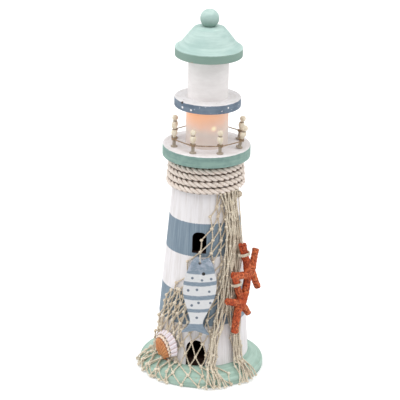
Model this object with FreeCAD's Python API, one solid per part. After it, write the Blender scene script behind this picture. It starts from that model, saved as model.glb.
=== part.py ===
"""Garden lighthouse ornament: a turned wooden tower on a round foot, with a lit lantern room.

Millimetres. Z points up, the underside of the foot lies on Z = 0, and the tower's axis is the Z axis.
The front is -Y. Azimuths are degrees about Z, counted from the front towards +X.
"""
import FreeCAD
import Part
import math
import os

V = FreeCAD.Vector
UP = V(0, 0, 1)

# ---------------------------------------------------------------- driving sizes of the turned pieces
foot_radius = 53.7
foot_thickness = 14.9
foot_rim_height = 8.2
foot_edge_round = 2.0
foot_knee_inset = 2.1
foot_knee_drop = 3.0
foot_knee_bulge = 0.6
foot_shoulder = 1.1
foot_spigot_height = 4.0

tower_height = 178.7
tower_foot_radius = 40.5
tower_top_radius = 26.0
tower_wall = 6.0

opening_azimuth = -7.5
door_width = 16.5
door_height = 23.3
window_width = 12.2
window_height = 18.5
window_sill_above_foot = 100.9
window_corner_radius = 4.9

deck_radius = 37.2
deck_thickness = 10.0
deck_edge_round = 1.0
deck_spigot_height = 6.0

lantern_radius = 17.8
lantern_height = 33.8
lantern_wall = 2.0

ring_radius = 28.0
ring_thickness = 7.8
ring_spigot_height = 3.0
ring_edge_round = 0.8

drum_radius = 17.0
drum_height = 35.2

roof_radius = 28.3
roof_rim_height = 6.8
roof_height = 25.1
roof_crease_radius = 22.6
roof_top_radius = 8.0
roof_edge_round = 0.8
roof_step = 1.3
roof_step_height = 1.1
roof_crease_height = 5.0
roof_bell_radius = 13.0
roof_bell_drop = 1.2
roof_bell_inset = 6.0
roof_bell_hollow = 4.2

ball_radius = 7.9
ball_seat_depth = 1.3
ball_dowel_radius = 2.0
ball_dowel_depth = 6.0

head_dowel_radius = 4.0
head_dowel_depth = 5.0

# ---------------------------------------------------------------- railing
post_count = 8
post_ring_radius = 29.4
post_first_azimuth = 22.5
post_height = 20.6
post_stem_radius = 1.4
post_foot_radius = 2.9
post_foot_height = 1.4
post_belly_radius = 2.6
post_ball_radius = 2.5
post_leans = {1: 15.0, 2: 10.0}
post_collar = 2.3
post_neck = 0.5
post_foot_flare = 0.4
cord_height_on_post = 7.3
railing_cord_radius = 0.6
railing_bend_radius = 2.2

# ---------------------------------------------------------------- rope, net and what hangs on it
rope_diameter = 6.0
rope_turns = 4
rope_bite = 0.4
rope_below_deck = 2.3
twine_radius = 0.7
net_thickness = 1.4
net_strand = 1.7
mesh_width = 11.0
mesh_height = 22.0
bundle_thickness = 3.5
drape_azimuth = -30.0
drape_left_edge = [(-88, 0.0), (-77, 0.145), (-69, 0.23), (-59, 0.335), (-41, 0.46), (-32, 0.52),
                   (-16, 0.665), (-2, 0.755), (6, 0.84), (11, 0.91), (21, 1.0)]
drape_right_edge = [(33, 1.0), (27, 0.55), (14, 0.22), (8, 0.0)]
bundle_azimuth = 35.0
bundle_edge = [(25, 1.0), (29, 0.75), (27, 0.55), (20, 0.42), (13, 0.20), (5, 0.0), (13, 0.0), (21, 0.20),
               (31, 0.36), (35, 0.20), (42, 0.0), (52, 0.0), (50, 0.30), (55, 0.60), (54, 0.85), (50, 1.0)]
knot_radius = 3.4
knot_azimuth = 61.0
knot_below_rope = 4.5
hem_first_azimuth = -88.0
hem_last_azimuth = 44.0
hem_meshes = 12
hem_above_floor = 2.2

fish_azimuth = -3.5
fish_length = 67.2
fish_half_width = 14.1
fish_thickness = 5.0
fish_mouth_height = 110.2
fish_mouth_side = 1.2
fish_lean = 3.7
fish_hole_radius = 1.3
fish_hole_side = -1.8
fish_hole_from_lips = 4.6
fish_eye_radius = 1.5
fish_eye_proud = 0.5
fish_eye_depth = 1.5
fish_loop_radius = 0.5
fish_loop_bend = 1.2

coral_azimuth = 45.0
coral_trunk_radius = 3.9
coral_branch_radius = 3.3
coral_tip_radius = 2.8
coral_tie_turns = 2

shell_azimuth = -50.0
shell_width = 29.0
shell_height = 26.5
shell_depth = 8.0
shell_wall = 1.6
shell_ribs = 11
shell_lean_sideways = 12.0
shell_spread = 52.0
shell_draw_in = 0.75
shell_rib_bulge = 0.8
shell_crown_share = 0.46
shell_ear_width = 6.1
shell_ear_height = 4.5
shell_above_hem = -1.6

# ---------------------------------------------------------------- light
led_radius = 2.5
led_flange_radius = 2.9
led_flange_height = 1.0
led_body_height = 6.1
led_leg_radius = 0.25
led_leg_spacing = 2.54
led_leg_length = 8.5
led_stalk_height = 9.3
holder_radius = 4.0
holder_flange_radius = 6.0
holder_flange_height = 1.4
holder_bore_radius = 2.1
wire_radius = 0.6
wire_bore_radius = 1.2
wire_apart = 1.0
wire_bends = [(5.0, 3.0, 0.74), (8.5, 6.5, 0.52), (14.0, 7.0, 0.30)]
wire_straight_share = 0.14
sleeve_radius = 1.4
sleeve_length = 14.0

# ---------------------------------------------------------------- battery box in the foot
cell_radius = 10.0
cell_thickness = 3.2
cell_step = 0.6
cell_between = 0.6
cell_from_hinge = 0.5
cell_beside = 1.0
box_wall = 1.2
box_lip_above_floor = 0.5
cover_thickness = 1.5
strip_thickness = 0.3
strip_width = 1.2
strip_pad = 8.0
link_width = 5.0
hinge_peg_radius = 0.6
hinge_peg_reach = 0.9
switch_bay_length = 7.4
switch_body_size = (3.6, 8.6, 3.5)
switch_knob_size = 1.5
switch_travel = 2.0
switch_strip_y = -6.0
switch_wire_side = 2.6
switch_slot_depth = 1.6
switch_groove = 0.15
ear_length = 6.0
box_screw_radius = 1.1
box_screw_head_radius = 2.0
box_screw_length = 7.0
cover_screw_radius = 0.95
cover_screw_head_radius = 1.8
cover_screw_bite = 1.6
cover_screw_from_end = 2.6
screw_boss_wall = 1.1
screw_head_height = 1.0
screw_slot_width = 0.5

# ---------------------------------------------------------------- clearances
glue_gap = 0.1
seat_gap = 0.3
running_gap = 0.05
cover_gap = 0.2
screw_gap = 0.12

# how far a cutting shape runs past the face it cuts, and the share of a round's radius cut off its corner
past = 1.0
corner_share = 1 - math.sqrt(0.5)

# ---------------------------------------------------------------- levels worked out from the sizes
foot_top = foot_thickness
tower_top = foot_top + tower_height
deck_top = tower_top + deck_thickness
ring_bottom = deck_top + lantern_height
ring_top = ring_bottom + ring_thickness
drum_top = ring_top + drum_height
roof_top = drum_top + roof_height
ball_centre = roof_top + ball_radius - ball_seat_depth
foot_knee_radius = foot_radius - foot_knee_inset
foot_bulge_height = foot_rim_height - foot_knee_drop * 0.43
foot_shoulder_radius = tower_foot_radius + foot_shoulder
window_sill = foot_top + window_sill_above_foot
rope_top = tower_top - rope_below_deck
rope_bottom = rope_top - rope_turns * (rope_diameter - rope_bite) - rope_bite

tower_taper = (tower_foot_radius - tower_top_radius) / tower_height
tower_slope = math.atan(tower_taper)


def tower_radius(z):
    """Outer radius of the tower's cone at height z."""
    return tower_foot_radius - tower_taper * (z - foot_top)


# ---------------------------------------------------------------- helpers
def save(name, shape):
    """Writes one sub-part and reports its solids."""
    shape = shape.removeSplitter() if shape.ShapeType == "Solid" else shape
    print("%-18s solids %d  valid %s  volume %.1f" % (name, len(shape.Solids), shape.isValid(), shape.Volume))
    shape.exportStep("parts/%s.step" % name)


def rod(radius, low, high, x=0.0, y=0.0):
    """Upright cylinder between two heights."""
    return Part.makeCylinder(radius, high - low, V(x, y, low))


def tube(outer, inner, low, high, x=0.0, y=0.0):
    """Upright tube between two heights."""
    return rod(outer, low, high, x, y).cut(rod(inner, low, high, x, y))


def block(x0, x1, y0, y1, z0, z1):
    """Box between two corners."""
    return Part.makeBox(x1 - x0, y1 - y0, z1 - z0, V(x0, y0, z0))


def turned(steps):
    """Solid turned about Z. A step is (radius, height), or (radius, height, "via", r, z) for an arc."""
    edges = []
    last = V(steps[0][0], 0, steps[0][1])
    for step in steps[1:] + [steps[0]]:
        point = V(step[0], 0, step[1])
        if len(step) > 2:
            edges.append(Part.Arc(last, V(step[3], 0, step[4]), point).toShape())
        elif point.distanceToPoint(last) > 1e-6:
            edges.append(Part.LineSegment(last, point).toShape())
        last = point
    return Part.Face(Part.Wire(edges)).revolve(V(0, 0, 0), UP, 360)


def outward(azimuth):
    """Level unit vector that points away from the axis at an azimuth."""
    a = math.radians(azimuth)
    return V(math.sin(a), -math.cos(a), 0)


def along(azimuth):
    """Level unit vector that runs round the tower at an azimuth, to the right as seen from outside."""
    a = math.radians(azimuth)
    return V(math.cos(a), math.sin(a), 0)


def placed(origin, across, upward, facing):
    """Placement that turns local X, Y, Z into three given unit vectors."""
    m = FreeCAD.Matrix(across.x, upward.x, facing.x, origin.x, across.y, upward.y, facing.y, origin.y,
                       across.z, upward.z, facing.z, origin.z, 0, 0, 0, 1)
    return FreeCAD.Placement(m)


def on_tower(azimuth, height, standoff):
    """Frame on the tower's slope: X runs round it, Y runs up the slope, Z faces out of it."""
    level = outward(azimuth)
    facing = level * math.cos(tower_slope) + UP * math.sin(tower_slope)
    upward = UP * math.cos(tower_slope) - level * math.sin(tower_slope)
    origin = level * tower_radius(height) + UP * height + facing * standoff
    return placed(origin, along(azimuth), upward, facing)


def moved(shape, placement):
    """Copy of a shape taken through a placement."""
    copy = shape.copy()
    copy.Placement = placement.multiply(copy.Placement)
    return copy


def between(radius_low, radius_high, low, high):
    """Cylinder or cone between two points."""
    axis = high - low
    if abs(radius_low - radius_high) < 1e-6:
        return Part.makeCylinder(radius_low, axis.Length, low, axis)
    return Part.makeCone(radius_low, radius_high, axis.Length, low, axis)


def bent_wire(points, radius=None, closed=False):
    """Straight runs joined by tangent arcs. Without a radius each arc is as large as its runs allow."""
    count = len(points)
    corners = range(count) if closed else range(1, count - 1)
    starts, ends, mids = {}, {}, {}
    for i in corners:
        before = points[i - 1] - points[i]
        after = points[(i + 1) % count] - points[i]
        half = before.getAngle(after) / 2
        shorter = min(before.Length, after.Length)
        reach = 0.45 * shorter if radius is None else radius / math.tan(half)
        bend = reach * math.tan(half)
        bisector = V(before).normalize() + V(after).normalize()
        centre = points[i] + bisector.normalize() * (bend / math.sin(half))
        starts[i] = points[i] + V(before).normalize() * reach
        ends[i] = points[i] + V(after).normalize() * reach
        mids[i] = centre + (points[i] - centre).normalize() * bend
    edges = []
    for i in range(count if closed else count - 1):
        j = (i + 1) % count
        edges.append(Part.LineSegment(ends.get(i, points[i]), starts.get(j, points[j])).toShape())
        if j in mids:
            edges.append(Part.Arc(starts[j], mids[j], ends[j]).toShape())
    return Part.Wire(edges)


def swept(edges, radius):
    """Solid of round section along joined edges."""
    first = edges[0]
    start = first.valueAt(first.FirstParameter)
    direction = first.tangentAt(first.FirstParameter)
    section = Part.Wire([Part.Circle(start, direction, radius).toShape()])
    return Part.Wire(edges).makePipeShell([section], True, False)


def cord(points, radius, bend=None, closed=False):
    """Solid cord along straight runs and tangent arcs. A closed one is swept in two halves."""
    edges = bent_wire(points, bend, closed).Edges
    if not closed:
        return swept(edges, radius)
    half = len(edges) // 2
    return swept(edges[:half], radius).fuse(swept(edges[half:], radius)).removeSplitter()


def ring_round(centre, axis, big, small):
    """Ring of round section."""
    return Part.makeTorus(big, small, centre, axis)


def arch(width, height, corner):
    """Upright opening outline with rounded upper corners, in local X and Y with its sill at Y = 0."""
    half = width / 2
    corner = min(corner, half - 0.01)
    cut = corner * corner_share
    spring = height - corner
    edges = [
        Part.LineSegment(V(-half, 0, 0), V(half, 0, 0)).toShape(),
        Part.LineSegment(V(half, 0, 0), V(half, spring, 0)).toShape(),
        Part.Arc(V(half, spring, 0), V(half - cut, height - cut, 0), V(half - corner, height, 0)).toShape(),
        Part.LineSegment(V(half - corner, height, 0), V(corner - half, height, 0)).toShape(),
        Part.Arc(V(corner - half, height, 0), V(cut - half, height - cut, 0), V(-half, spring, 0)).toShape(),
        Part.LineSegment(V(-half, spring, 0), V(-half, 0, 0)).toShape(),
    ]
    return Part.Face(Part.Wire(edges))


def level_opening(face, azimuth, sill, start, depth):
    """Face pushed level out of the tower at an azimuth, from a start radius."""
    level = outward(azimuth)
    frame = placed(level * start + UP * sill, along(azimuth), UP, level)
    return moved(face.extrude(V(0, 0, depth)), frame)


# ---------------------------------------------------------------- foot
pocket_depth = box_lip_above_floor + cover_thickness + 2 * strip_thickness + cell_thickness + box_wall
screw_boss_radius = cover_screw_radius + screw_boss_wall
cell_spacing = 2 * cell_radius + cell_between
first_cell_from_hinge = cover_thickness / 2 + cell_from_hinge + cell_radius
cover_screw_from_hinge = first_cell_from_hinge + cell_spacing + cell_radius + seat_gap + screw_boss_radius
cover_length = cover_screw_from_hinge + cover_screw_from_end
cover_width = 2 * (cell_radius + cell_beside)
hinge_x = -(cover_length + switch_bay_length) / 2
cover_end_x = hinge_x + cover_length
cover_screw_x = hinge_x + cover_screw_from_hinge
cell_x = (hinge_x + first_cell_from_hinge, hinge_x + first_cell_from_hinge + cell_spacing)
partition_x = cover_end_x + seat_gap
bay_x0 = partition_x + box_wall
bay_x1 = bay_x0 + switch_bay_length
box_x0 = hinge_x - cover_thickness / 2 - seat_gap - box_wall
box_x1 = bay_x1 + box_wall
box_half_width = cover_width / 2 + cover_gap + box_wall
strip_low = pocket_depth - box_wall - strip_thickness
switch_x = (bay_x0 + bay_x1) / 2
red_place = (switch_x - strip_width, cover_width / 2 - strip_width)
black_place = (switch_x, -switch_wire_side)


def foot():
    """Round foot turned from a board, with a spigot for the tower and a pocket for the battery box."""
    cut = foot_edge_round * corner_share
    spigot_top = foot_top + foot_spigot_height
    spigot = tower_radius(spigot_top) - tower_wall - glue_gap
    steps = [
        (0, 0),
        (foot_radius - foot_edge_round, 0),
        (foot_radius, foot_edge_round, "via", foot_radius - cut, cut),
        (foot_radius, foot_rim_height - foot_knee_drop),
        (foot_knee_radius, foot_rim_height, "via", foot_radius - foot_knee_bulge, foot_bulge_height),
        (foot_shoulder_radius, foot_top),
        (spigot, foot_top),
        (spigot, spigot_top),
        (0, spigot_top),
    ]
    body = turned(steps)
    pocket = block(box_x0 - ear_length - cover_gap, box_x1 + ear_length + cover_gap,
                   -box_half_width - cover_gap, box_half_width + cover_gap, -past, pocket_depth)
    body = body.cut(pocket)
    for x, y in (red_place, black_place):
        body = body.cut(rod(wire_bore_radius, pocket_depth - past, spigot_top + past, x, y))
    for x in ear_screw_places():
        hole_top = box_screw_tip() + seat_gap
        body = body.cut(rod(box_screw_radius + running_gap, pocket_depth - past, hole_top, x, 0))
    return body


def ear_screw_places():
    """Where the two screws go that hold the battery box."""
    return (box_x0 - ear_length / 2, box_x1 + ear_length / 2)


def box_screw_tip():
    """Height that the battery box's screws reach."""
    return pocket_depth - box_wall + box_screw_length


# ---------------------------------------------------------------- tower
def tower():
    """Hollow turned cone with a door and a window cut through its wall."""
    top_inner = tower_top_radius - tower_wall
    steps = [
        (tower_foot_radius - tower_wall, foot_top),
        (tower_foot_radius, foot_top),
        (tower_top_radius, tower_top),
        (top_inner, tower_top),
    ]
    body = turned(steps)
    reach = tower_foot_radius * 2
    door = arch(door_width, door_height + past, door_width / 2)
    door = level_opening(door, opening_azimuth, foot_top - past, 0, reach)
    window = level_opening(arch(window_width, window_height, window_corner_radius), opening_azimuth,
                           window_sill, 0, reach)
    return body.cut(door).cut(window)


# ---------------------------------------------------------------- gallery deck and railing
def deck():
    """Round gallery floor with a spigot that sits in the top of the tower."""
    e = deck_edge_round
    k = e * corner_share
    steps = [
        (holder_radius + running_gap, tower_top - deck_spigot_height),
        (tower_top_radius - tower_wall - glue_gap, tower_top - deck_spigot_height),
        (tower_top_radius - tower_wall - glue_gap, tower_top),
        (deck_radius - e, tower_top),
        (deck_radius, tower_top + e, "via", deck_radius - k, tower_top + k),
        (deck_radius, deck_top - e),
        (deck_radius - e, deck_top, "via", deck_radius - k, deck_top - k),
        (holder_radius + running_gap, deck_top),
    ]
    return turned(steps)


def post():
    """One turned post: a small foot, a thin stem, a belly and a round head. It stands on Z = 0."""
    belly_low = cord_height_on_post + post_collar
    ball_low = post_height - post_ball_radius - math.sqrt(post_ball_radius ** 2 - post_stem_radius ** 2)
    neck = ball_low - post_neck
    steps = [
        (0, 0),
        (post_foot_radius, 0),
        (post_foot_radius, post_foot_height / 2),
        (post_stem_radius, post_foot_height, "via", post_stem_radius + post_foot_flare,
         post_foot_height * 0.7),
        (post_stem_radius, belly_low),
        (post_stem_radius, neck, "via", post_belly_radius, (belly_low + neck) / 2),
        (post_stem_radius, ball_low),
        (0, post_height, "via", post_ball_radius, post_height - post_ball_radius),
    ]
    return turned(steps)


def post_placement(number):
    """Where a post stands, counted from the front. A loose one leans out over the edge of its foot."""
    lean = math.radians(post_leans.get(number, 0.0))
    level = outward(post_first_azimuth + number * 360.0 / post_count)
    facing = level * math.cos(lean) - UP * math.sin(lean)
    stem = UP * math.cos(lean) + level * math.sin(lean)
    edge = level * (post_ring_radius + post_foot_radius) + UP * deck_top
    origin = edge - facing * post_foot_radius
    return placed(origin, facing.cross(stem), facing, stem)


def post_point(number, height, out=0.0):
    """Point beside a post's axis, at a height on the post."""
    return post_placement(number).multVec(V(0, out, height))


def railing_posts():
    """All the posts, each a piece of its own."""
    one = post()
    return Part.makeCompound([moved(one, post_placement(i)) for i in range(post_count)])


def railing_cord():
    """Cord that runs round the outside of every post, pulled tight."""
    half_turn = math.radians(180.0 / post_count)
    corner = post_stem_radius + railing_cord_radius + running_gap
    corner += railing_bend_radius * (1 / math.cos(half_turn) - 1)
    points = [post_point(i, cord_height_on_post, corner) for i in range(post_count)]
    return cord(points, railing_cord_radius, railing_bend_radius, True)


def railing_hitches():
    """Turns of the cord round each stem, one above and one below the run."""
    big = post_stem_radius + railing_cord_radius + running_gap
    small = railing_cord_radius - running_gap
    rings = []
    for number in range(post_count):
        axis = post_point(number, 1) - post_point(number, 0)
        for step in (-1, 1):
            height = cord_height_on_post + step * (2 * railing_cord_radius + 3 * running_gap)
            rings.append(ring_round(post_point(number, height), axis, big, small))
    return Part.makeCompound(rings)


# ---------------------------------------------------------------- lantern room, drum and roof
def lantern_tube():
    """Milky tube that the light shines through."""
    return tube(lantern_radius, lantern_radius - lantern_wall, deck_top, ring_bottom)


def lantern_ring():
    """Wooden disc on the lantern, with a spigot in the tube and a blind hole for a dowel."""
    e = ring_edge_round
    k = e * corner_share
    spigot = lantern_radius - lantern_wall - glue_gap
    steps = [
        (0, ring_bottom - ring_spigot_height),
        (spigot, ring_bottom - ring_spigot_height),
        (spigot, ring_bottom),
        (ring_radius - e, ring_bottom),
        (ring_radius, ring_bottom + e, "via", ring_radius - k, ring_bottom + k),
        (ring_radius, ring_top - e),
        (ring_radius - e, ring_top, "via", ring_radius - k, ring_top - k),
        (0, ring_top),
    ]
    hole = rod(head_dowel_radius + running_gap, ring_top - head_dowel_depth - glue_gap, ring_top + past)
    return turned(steps).cut(hole)


def upper_drum():
    """Round block between the ring and the roof, drilled at both ends."""
    reach = head_dowel_depth + glue_gap
    body = rod(drum_radius, ring_top, drum_top)
    for low, high in ((ring_top - past, ring_top + reach), (drum_top - reach, drum_top + past)):
        body = body.cut(rod(head_dowel_radius + running_gap, low, high))
    return body


def head_dowels():
    """Two plain dowels, ring to drum and drum to roof."""
    return Part.makeCompound([rod(head_dowel_radius, z - head_dowel_depth, z + head_dowel_depth)
                              for z in (ring_top, drum_top)])


def roof():
    """Turned roof: an upright rim, a raised shoulder and a bell-shaped top."""
    e = roof_edge_round
    k = e * corner_share
    rim_top = drum_top + roof_rim_height
    shoulder = rim_top + roof_step_height
    crease = rim_top + roof_crease_height
    bell_top = roof_top - roof_bell_drop
    steps = [
        (0, drum_top),
        (roof_radius - e, drum_top),
        (roof_radius, drum_top + e, "via", roof_radius - k, drum_top + k),
        (roof_radius, rim_top),
        (roof_radius - roof_step, shoulder, "via", roof_radius - k, shoulder - k),
        (roof_crease_radius, crease),
        (roof_bell_radius, bell_top, "via", roof_crease_radius - roof_bell_inset,
         bell_top - roof_bell_hollow),
        (roof_top_radius, roof_top),
        (0, roof_top),
    ]
    body = turned(steps)
    head_hole_top = drum_top + head_dowel_depth + glue_gap
    body = body.cut(rod(head_dowel_radius + running_gap, drum_top - past, head_hole_top))
    hole_low = ball_dowel_low() - glue_gap
    body = body.cut(rod(ball_dowel_radius + running_gap, hole_low, roof_top + past))
    return body.cut(Part.makeSphere(ball_radius + running_gap, V(0, 0, ball_centre)))


def ball_dowel_low():
    """Lower end of the finial's dowel."""
    return ball_centre - ball_radius - ball_dowel_depth + ball_seat_depth


def ball_dowel_high():
    """Upper end of the finial's dowel."""
    return ball_centre - ball_radius + ball_dowel_depth


def finial_ball():
    """Wooden bead on the roof, drilled from below."""
    hole_low = ball_centre - ball_radius - past
    hole = rod(ball_dowel_radius + running_gap, hole_low, ball_dowel_high() + glue_gap)
    return Part.makeSphere(ball_radius, V(0, 0, ball_centre)).cut(hole)


# ---------------------------------------------------------------- rope under the deck
def rope_wrap():
    """Outer shape of the rope's turns, wound tightly under the deck."""
    half = rope_diameter / 2
    pitch = rope_diameter - rope_bite
    high = rope_top
    low = rope_bottom
    lie = tower_radius
    centres = [high - half - i * pitch for i in range(rope_turns)]
    groove = half * math.sqrt(1 - (pitch / rope_diameter) ** 2)
    steps = [(lie(high) + glue_gap, high), (lie(high) + glue_gap + half, high)]
    for i, z in enumerate(centres):
        out = lie(z) + glue_gap + half
        last = i == rope_turns - 1
        end = (out, low) if last else (lie(z - pitch / 2) + glue_gap + half + groove, z - pitch / 2)
        steps.append(end + ("via", out + half * 0.995, z + (0 if last else 0.1)))
    steps.append((lie(low) + glue_gap, low))
    return turned(steps)


# ---------------------------------------------------------------- net
def skin(profile):
    """Thin turned skin from a list of (radius, height) on its inner side and its thickness outwards."""
    outer = [(r + dr, z + dz) for (r, z), (dr, dz) in profile]
    inner = [point for point, _ in profile]
    return turned(inner + outer[::-1])


def tower_skin(standoff, thickness, low, high):
    """Conical skin that lies round the tower."""
    out = V(math.cos(tower_slope), 0, math.sin(tower_slope))
    corners = []
    far = standoff + thickness
    for z, depth in ((low, standoff), (high, standoff), (high, far), (low, far)):
        corners.append((tower_radius(z) + depth / out.x, z))
    return turned(corners)


def polygon(points):
    """Closed flat outline in local X and Y."""
    return Part.makePolygon([V(x, y, 0) for x, y in points + [points[0]]])


def inside(point, outline, margin):
    """True when a point lies inside a convex or mildly hollow outline, at least a margin from each side."""
    crossings = False
    x, y = point
    for (x0, y0), (x1, y1) in zip(outline, outline[1:] + outline[:1]):
        length = math.hypot(x1 - x0, y1 - y0)
        t = max(0.0, min(1.0, ((x - x0) * (x1 - x0) + (y - y0) * (y1 - y0)) / length ** 2))
        if math.hypot(x - x0 - t * (x1 - x0), y - y0 - t * (y1 - y0)) < margin:
            return False
        if (y0 > y) != (y1 > y) and x < x0 + (y - y0) * (x1 - x0) / (y1 - y0):
            crossings = not crossings
    return crossings


def meshes(outline):
    """Diamond holes of the net that lie wholly inside an outline."""
    half_w = (mesh_width - net_strand * 1.2) / 2
    half_h = (mesh_height - net_strand * 2.4) / 2
    xs = [x for x, _ in outline]
    ys = [y for _, y in outline]
    rows = int((max(ys) - min(ys)) / (mesh_height / 2)) + 1
    columns = int((max(xs) - min(xs)) / mesh_width) + 2
    holes = []
    for row in range(rows):
        for column in range(columns):
            x = min(xs) + (column + 0.5 * (row % 2)) * mesh_width
            y = min(ys) + row * mesh_height / 2
            corners = [(x, y - half_h), (x + half_w, y), (x, y + half_h), (x - half_w, y)]
            if all(inside(corner, outline, net_strand) for corner in corners):
                holes.append(corners)
    return holes


def net_panel(azimuth, outline, keep_out, knotted):
    """Piece of net on the tower, seen level from outside, with a hole for each mesh that isn't knotted up."""
    holes = [hole for hole in meshes(outline)
             if not any(math.hypot(hole[0][0] - x, hole[1][1] - z) < mesh_width for x, z in knotted)]
    wires = [polygon(outline)] + [polygon(hole) for hole in holes]
    face = Part.Face(wires)
    stamp = level_opening(face, azimuth, 0, tower_top_radius / 3, tower_foot_radius * 1.5)
    ys = [y for _, y in outline]
    cloth = tower_skin(seat_gap, net_thickness, min(ys), max(ys)).common(stamp)
    for shape in keep_out:
        cloth = cloth.cut(shape)
    return cloth


def opening_clearances():
    """Space in front of the door and the window that the net's strands leave open."""
    spread = 2 * net_strand
    door = arch(door_width + spread, door_height + net_strand, door_width / 2)
    window = arch(window_width + spread, window_height + net_strand, window_corner_radius)
    reach = tower_foot_radius * 2
    return (level_opening(door, opening_azimuth, foot_top, 0, reach),
            level_opening(window, opening_azimuth, window_sill, 0, reach))


net_low = foot_top + seat_gap
net_high = rope_bottom - glue_gap
net_reach = net_high - net_low


def seen_from(azimuth, edge):
    """Edge of the net, given by azimuth and share of its height, as it is seen level from an azimuth."""
    points = []
    for place, share in edge:
        z = net_low + share * net_reach
        points.append((tower_radius(z) * math.sin(math.radians(place - azimuth)), z))
    return points


def net_drape():
    """Spread part of the net, from the gather down to the left and over the front."""
    outline = seen_from(drape_azimuth, drape_left_edge + drape_right_edge)
    hung = fish_placement().multVec(V(fish_hole_side, fish_hole_height, 0))
    stood = shell_placement().multVec(V(0, shell_height / 2, 0))
    across = along(drape_azimuth)
    knotted = [(spot.dot(across), spot.z) for spot in (hung, stood)]
    return net_panel(drape_azimuth, outline, opening_clearances(), knotted)


def net_bundle():
    """Gathered part of the net: one thick hank from the rope down, parting into two near the foot."""
    face = Part.Face(polygon(seen_from(bundle_azimuth, bundle_edge)))
    stamp = level_opening(face, bundle_azimuth, 0, tower_top_radius / 3, tower_foot_radius * 1.5)
    lift = seat_gap * 2 + net_thickness
    hank = tower_skin(lift, bundle_thickness, net_low, net_high).common(stamp)
    for ring in coral_ties(running_gap).Solids:
        hank = hank.cut(ring)
    return max(hank.Solids, key=lambda solid: solid.Volume)


def net_hem():
    """Lower edge of the net, spread over the foot and hanging over its rim at the front."""
    fall = (foot_top - foot_rim_height) / (foot_knee_radius - foot_shoulder_radius)
    slope = math.atan(fall)
    thick = (math.sin(slope) * net_thickness, math.cos(slope) * net_thickness)
    inner = foot_shoulder_radius + seat_gap + 2 * net_thickness
    inner_z = foot_top - (inner - foot_shoulder_radius) * fall + seat_gap * 1.2
    profile = [
        ((inner, inner_z), thick),
        ((foot_knee_radius + seat_gap * 0.8, foot_rim_height + seat_gap * 0.8), thick),
        ((foot_radius - foot_knee_bulge + seat_gap, foot_bulge_height + seat_gap), thick),
        ((foot_radius + seat_gap, foot_rim_height - foot_knee_drop), (net_thickness, thick[0] / 2)),
        ((foot_radius + seat_gap, hem_above_floor), (net_thickness, 0)),
    ]
    step = (hem_last_azimuth - hem_first_azimuth) / hem_meshes
    angles = [hem_first_azimuth + step * i for i in range(hem_meshes + 1)]
    fan = [(0, 0)] + [level_point(a, foot_radius * 2) for a in angles]
    sheet = skin(profile).common(Part.Face(polygon(fan)).extrude(UP * (foot_top * 2)))
    first = inner + net_strand * 0.6
    last = foot_knee_radius - net_strand / 5
    for a in angles[:-1]:
        middle = a + step / 2
        half = step / 2 - net_strand
        corners = [level_point(middle, first), level_point(middle + half, (first + last) / 2),
                   level_point(middle, last), level_point(middle - half, (first + last) / 2)]
        sheet = sheet.cut(Part.Face(polygon(corners)).extrude(UP * (foot_top * 2)))
    return sheet


def level_point(azimuth, radius):
    """Flat X and Y of a point round the axis."""
    direction = outward(azimuth)
    return (direction.x * radius, direction.y * radius)


def knot_centre():
    """Middle of the knot that the net is gathered with."""
    return on_tower(knot_azimuth, net_high - knot_below_rope, knot_radius + seat_gap).Base


def net_knot():
    """Lump where the net's gathering cord is tied, just under the rope."""
    return Part.makeSphere(knot_radius, knot_centre())


# ---------------------------------------------------------------- fish
fish_back = seat_gap * 3 + net_thickness + fish_loop_radius * 2
fish_hole_height = fish_length - fish_hole_from_lips


def fish_outline():
    """Fish that stands on its tail, with a notched mouth at the top, about local X = 0."""
    w = fish_half_width
    n = fish_length
    right = [V(0.35 * w, n, 0), V(0.80 * w, 0.83 * n, 0), V(w, 0.60 * n, 0), V(0.79 * w, 0.40 * n, 0),
             V(0.38 * w, 0.17 * n, 0)]
    left = [V(-p.x, p.y, 0) for p in reversed(right)]
    side = Part.BSplineCurve()
    side.interpolate(right)
    other = Part.BSplineCurve()
    other.interpolate(left)
    tail_right = V(0.84 * w, -0.008 * n, 0)
    tail_left = V(-0.84 * w, -0.008 * n, 0)
    notch = V(0, 0.035 * n, 0)
    mouth = V(0, 0.96 * n, 0)
    bend = V(0.56 * w, 0.06 * n, 0)
    edges = [
        side.toShape(),
        Part.Arc(right[-1], bend, tail_right).toShape(),
        Part.LineSegment(tail_right, notch).toShape(),
        Part.LineSegment(notch, tail_left).toShape(),
        Part.Arc(tail_left, V(-bend.x, bend.y, 0), left[0]).toShape(),
        other.toShape(),
        Part.LineSegment(left[-1], mouth).toShape(),
        Part.LineSegment(mouth, right[0]).toShape(),
    ]
    return Part.Face(Part.Wire(edges))


def fish_hang():
    """Frame at the hole that the fish hangs from."""
    hang = FreeCAD.Placement(V(fish_mouth_side + fish_hole_side, fish_mouth_height, 0), FreeCAD.Rotation())
    return on_tower(fish_azimuth, 0, fish_back).multiply(hang)


def fish_placement():
    """The fish hangs a little askew from a hole beside its mouth, clear of the net behind it."""
    lean = FreeCAD.Placement(V(0, 0, 0), FreeCAD.Rotation(UP, -fish_lean))
    back = FreeCAD.Placement(V(-fish_hole_side, -fish_hole_height, 0), FreeCAD.Rotation())
    return fish_hang().multiply(lean).multiply(back)


def fish_body():
    """Fish sawn from a thin board, drilled for its loop and for its eye."""
    body = fish_outline().extrude(V(0, 0, fish_thickness))
    hole_start = V(fish_hole_side, fish_hole_height, -fish_thickness)
    hole = Part.makeCylinder(fish_hole_radius, fish_thickness * 3, hole_start)
    eye_bottom = eye_place(fish_thickness - fish_eye_depth)
    eye = Part.makeCylinder(fish_eye_radius + running_gap, fish_thickness, eye_bottom)
    return moved(body.cut(hole).cut(eye), fish_placement())


def eye_place(z):
    """Centre of the eye at a depth in the fish."""
    return V(0.15 * fish_half_width, 0.80 * fish_length, z)


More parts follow.
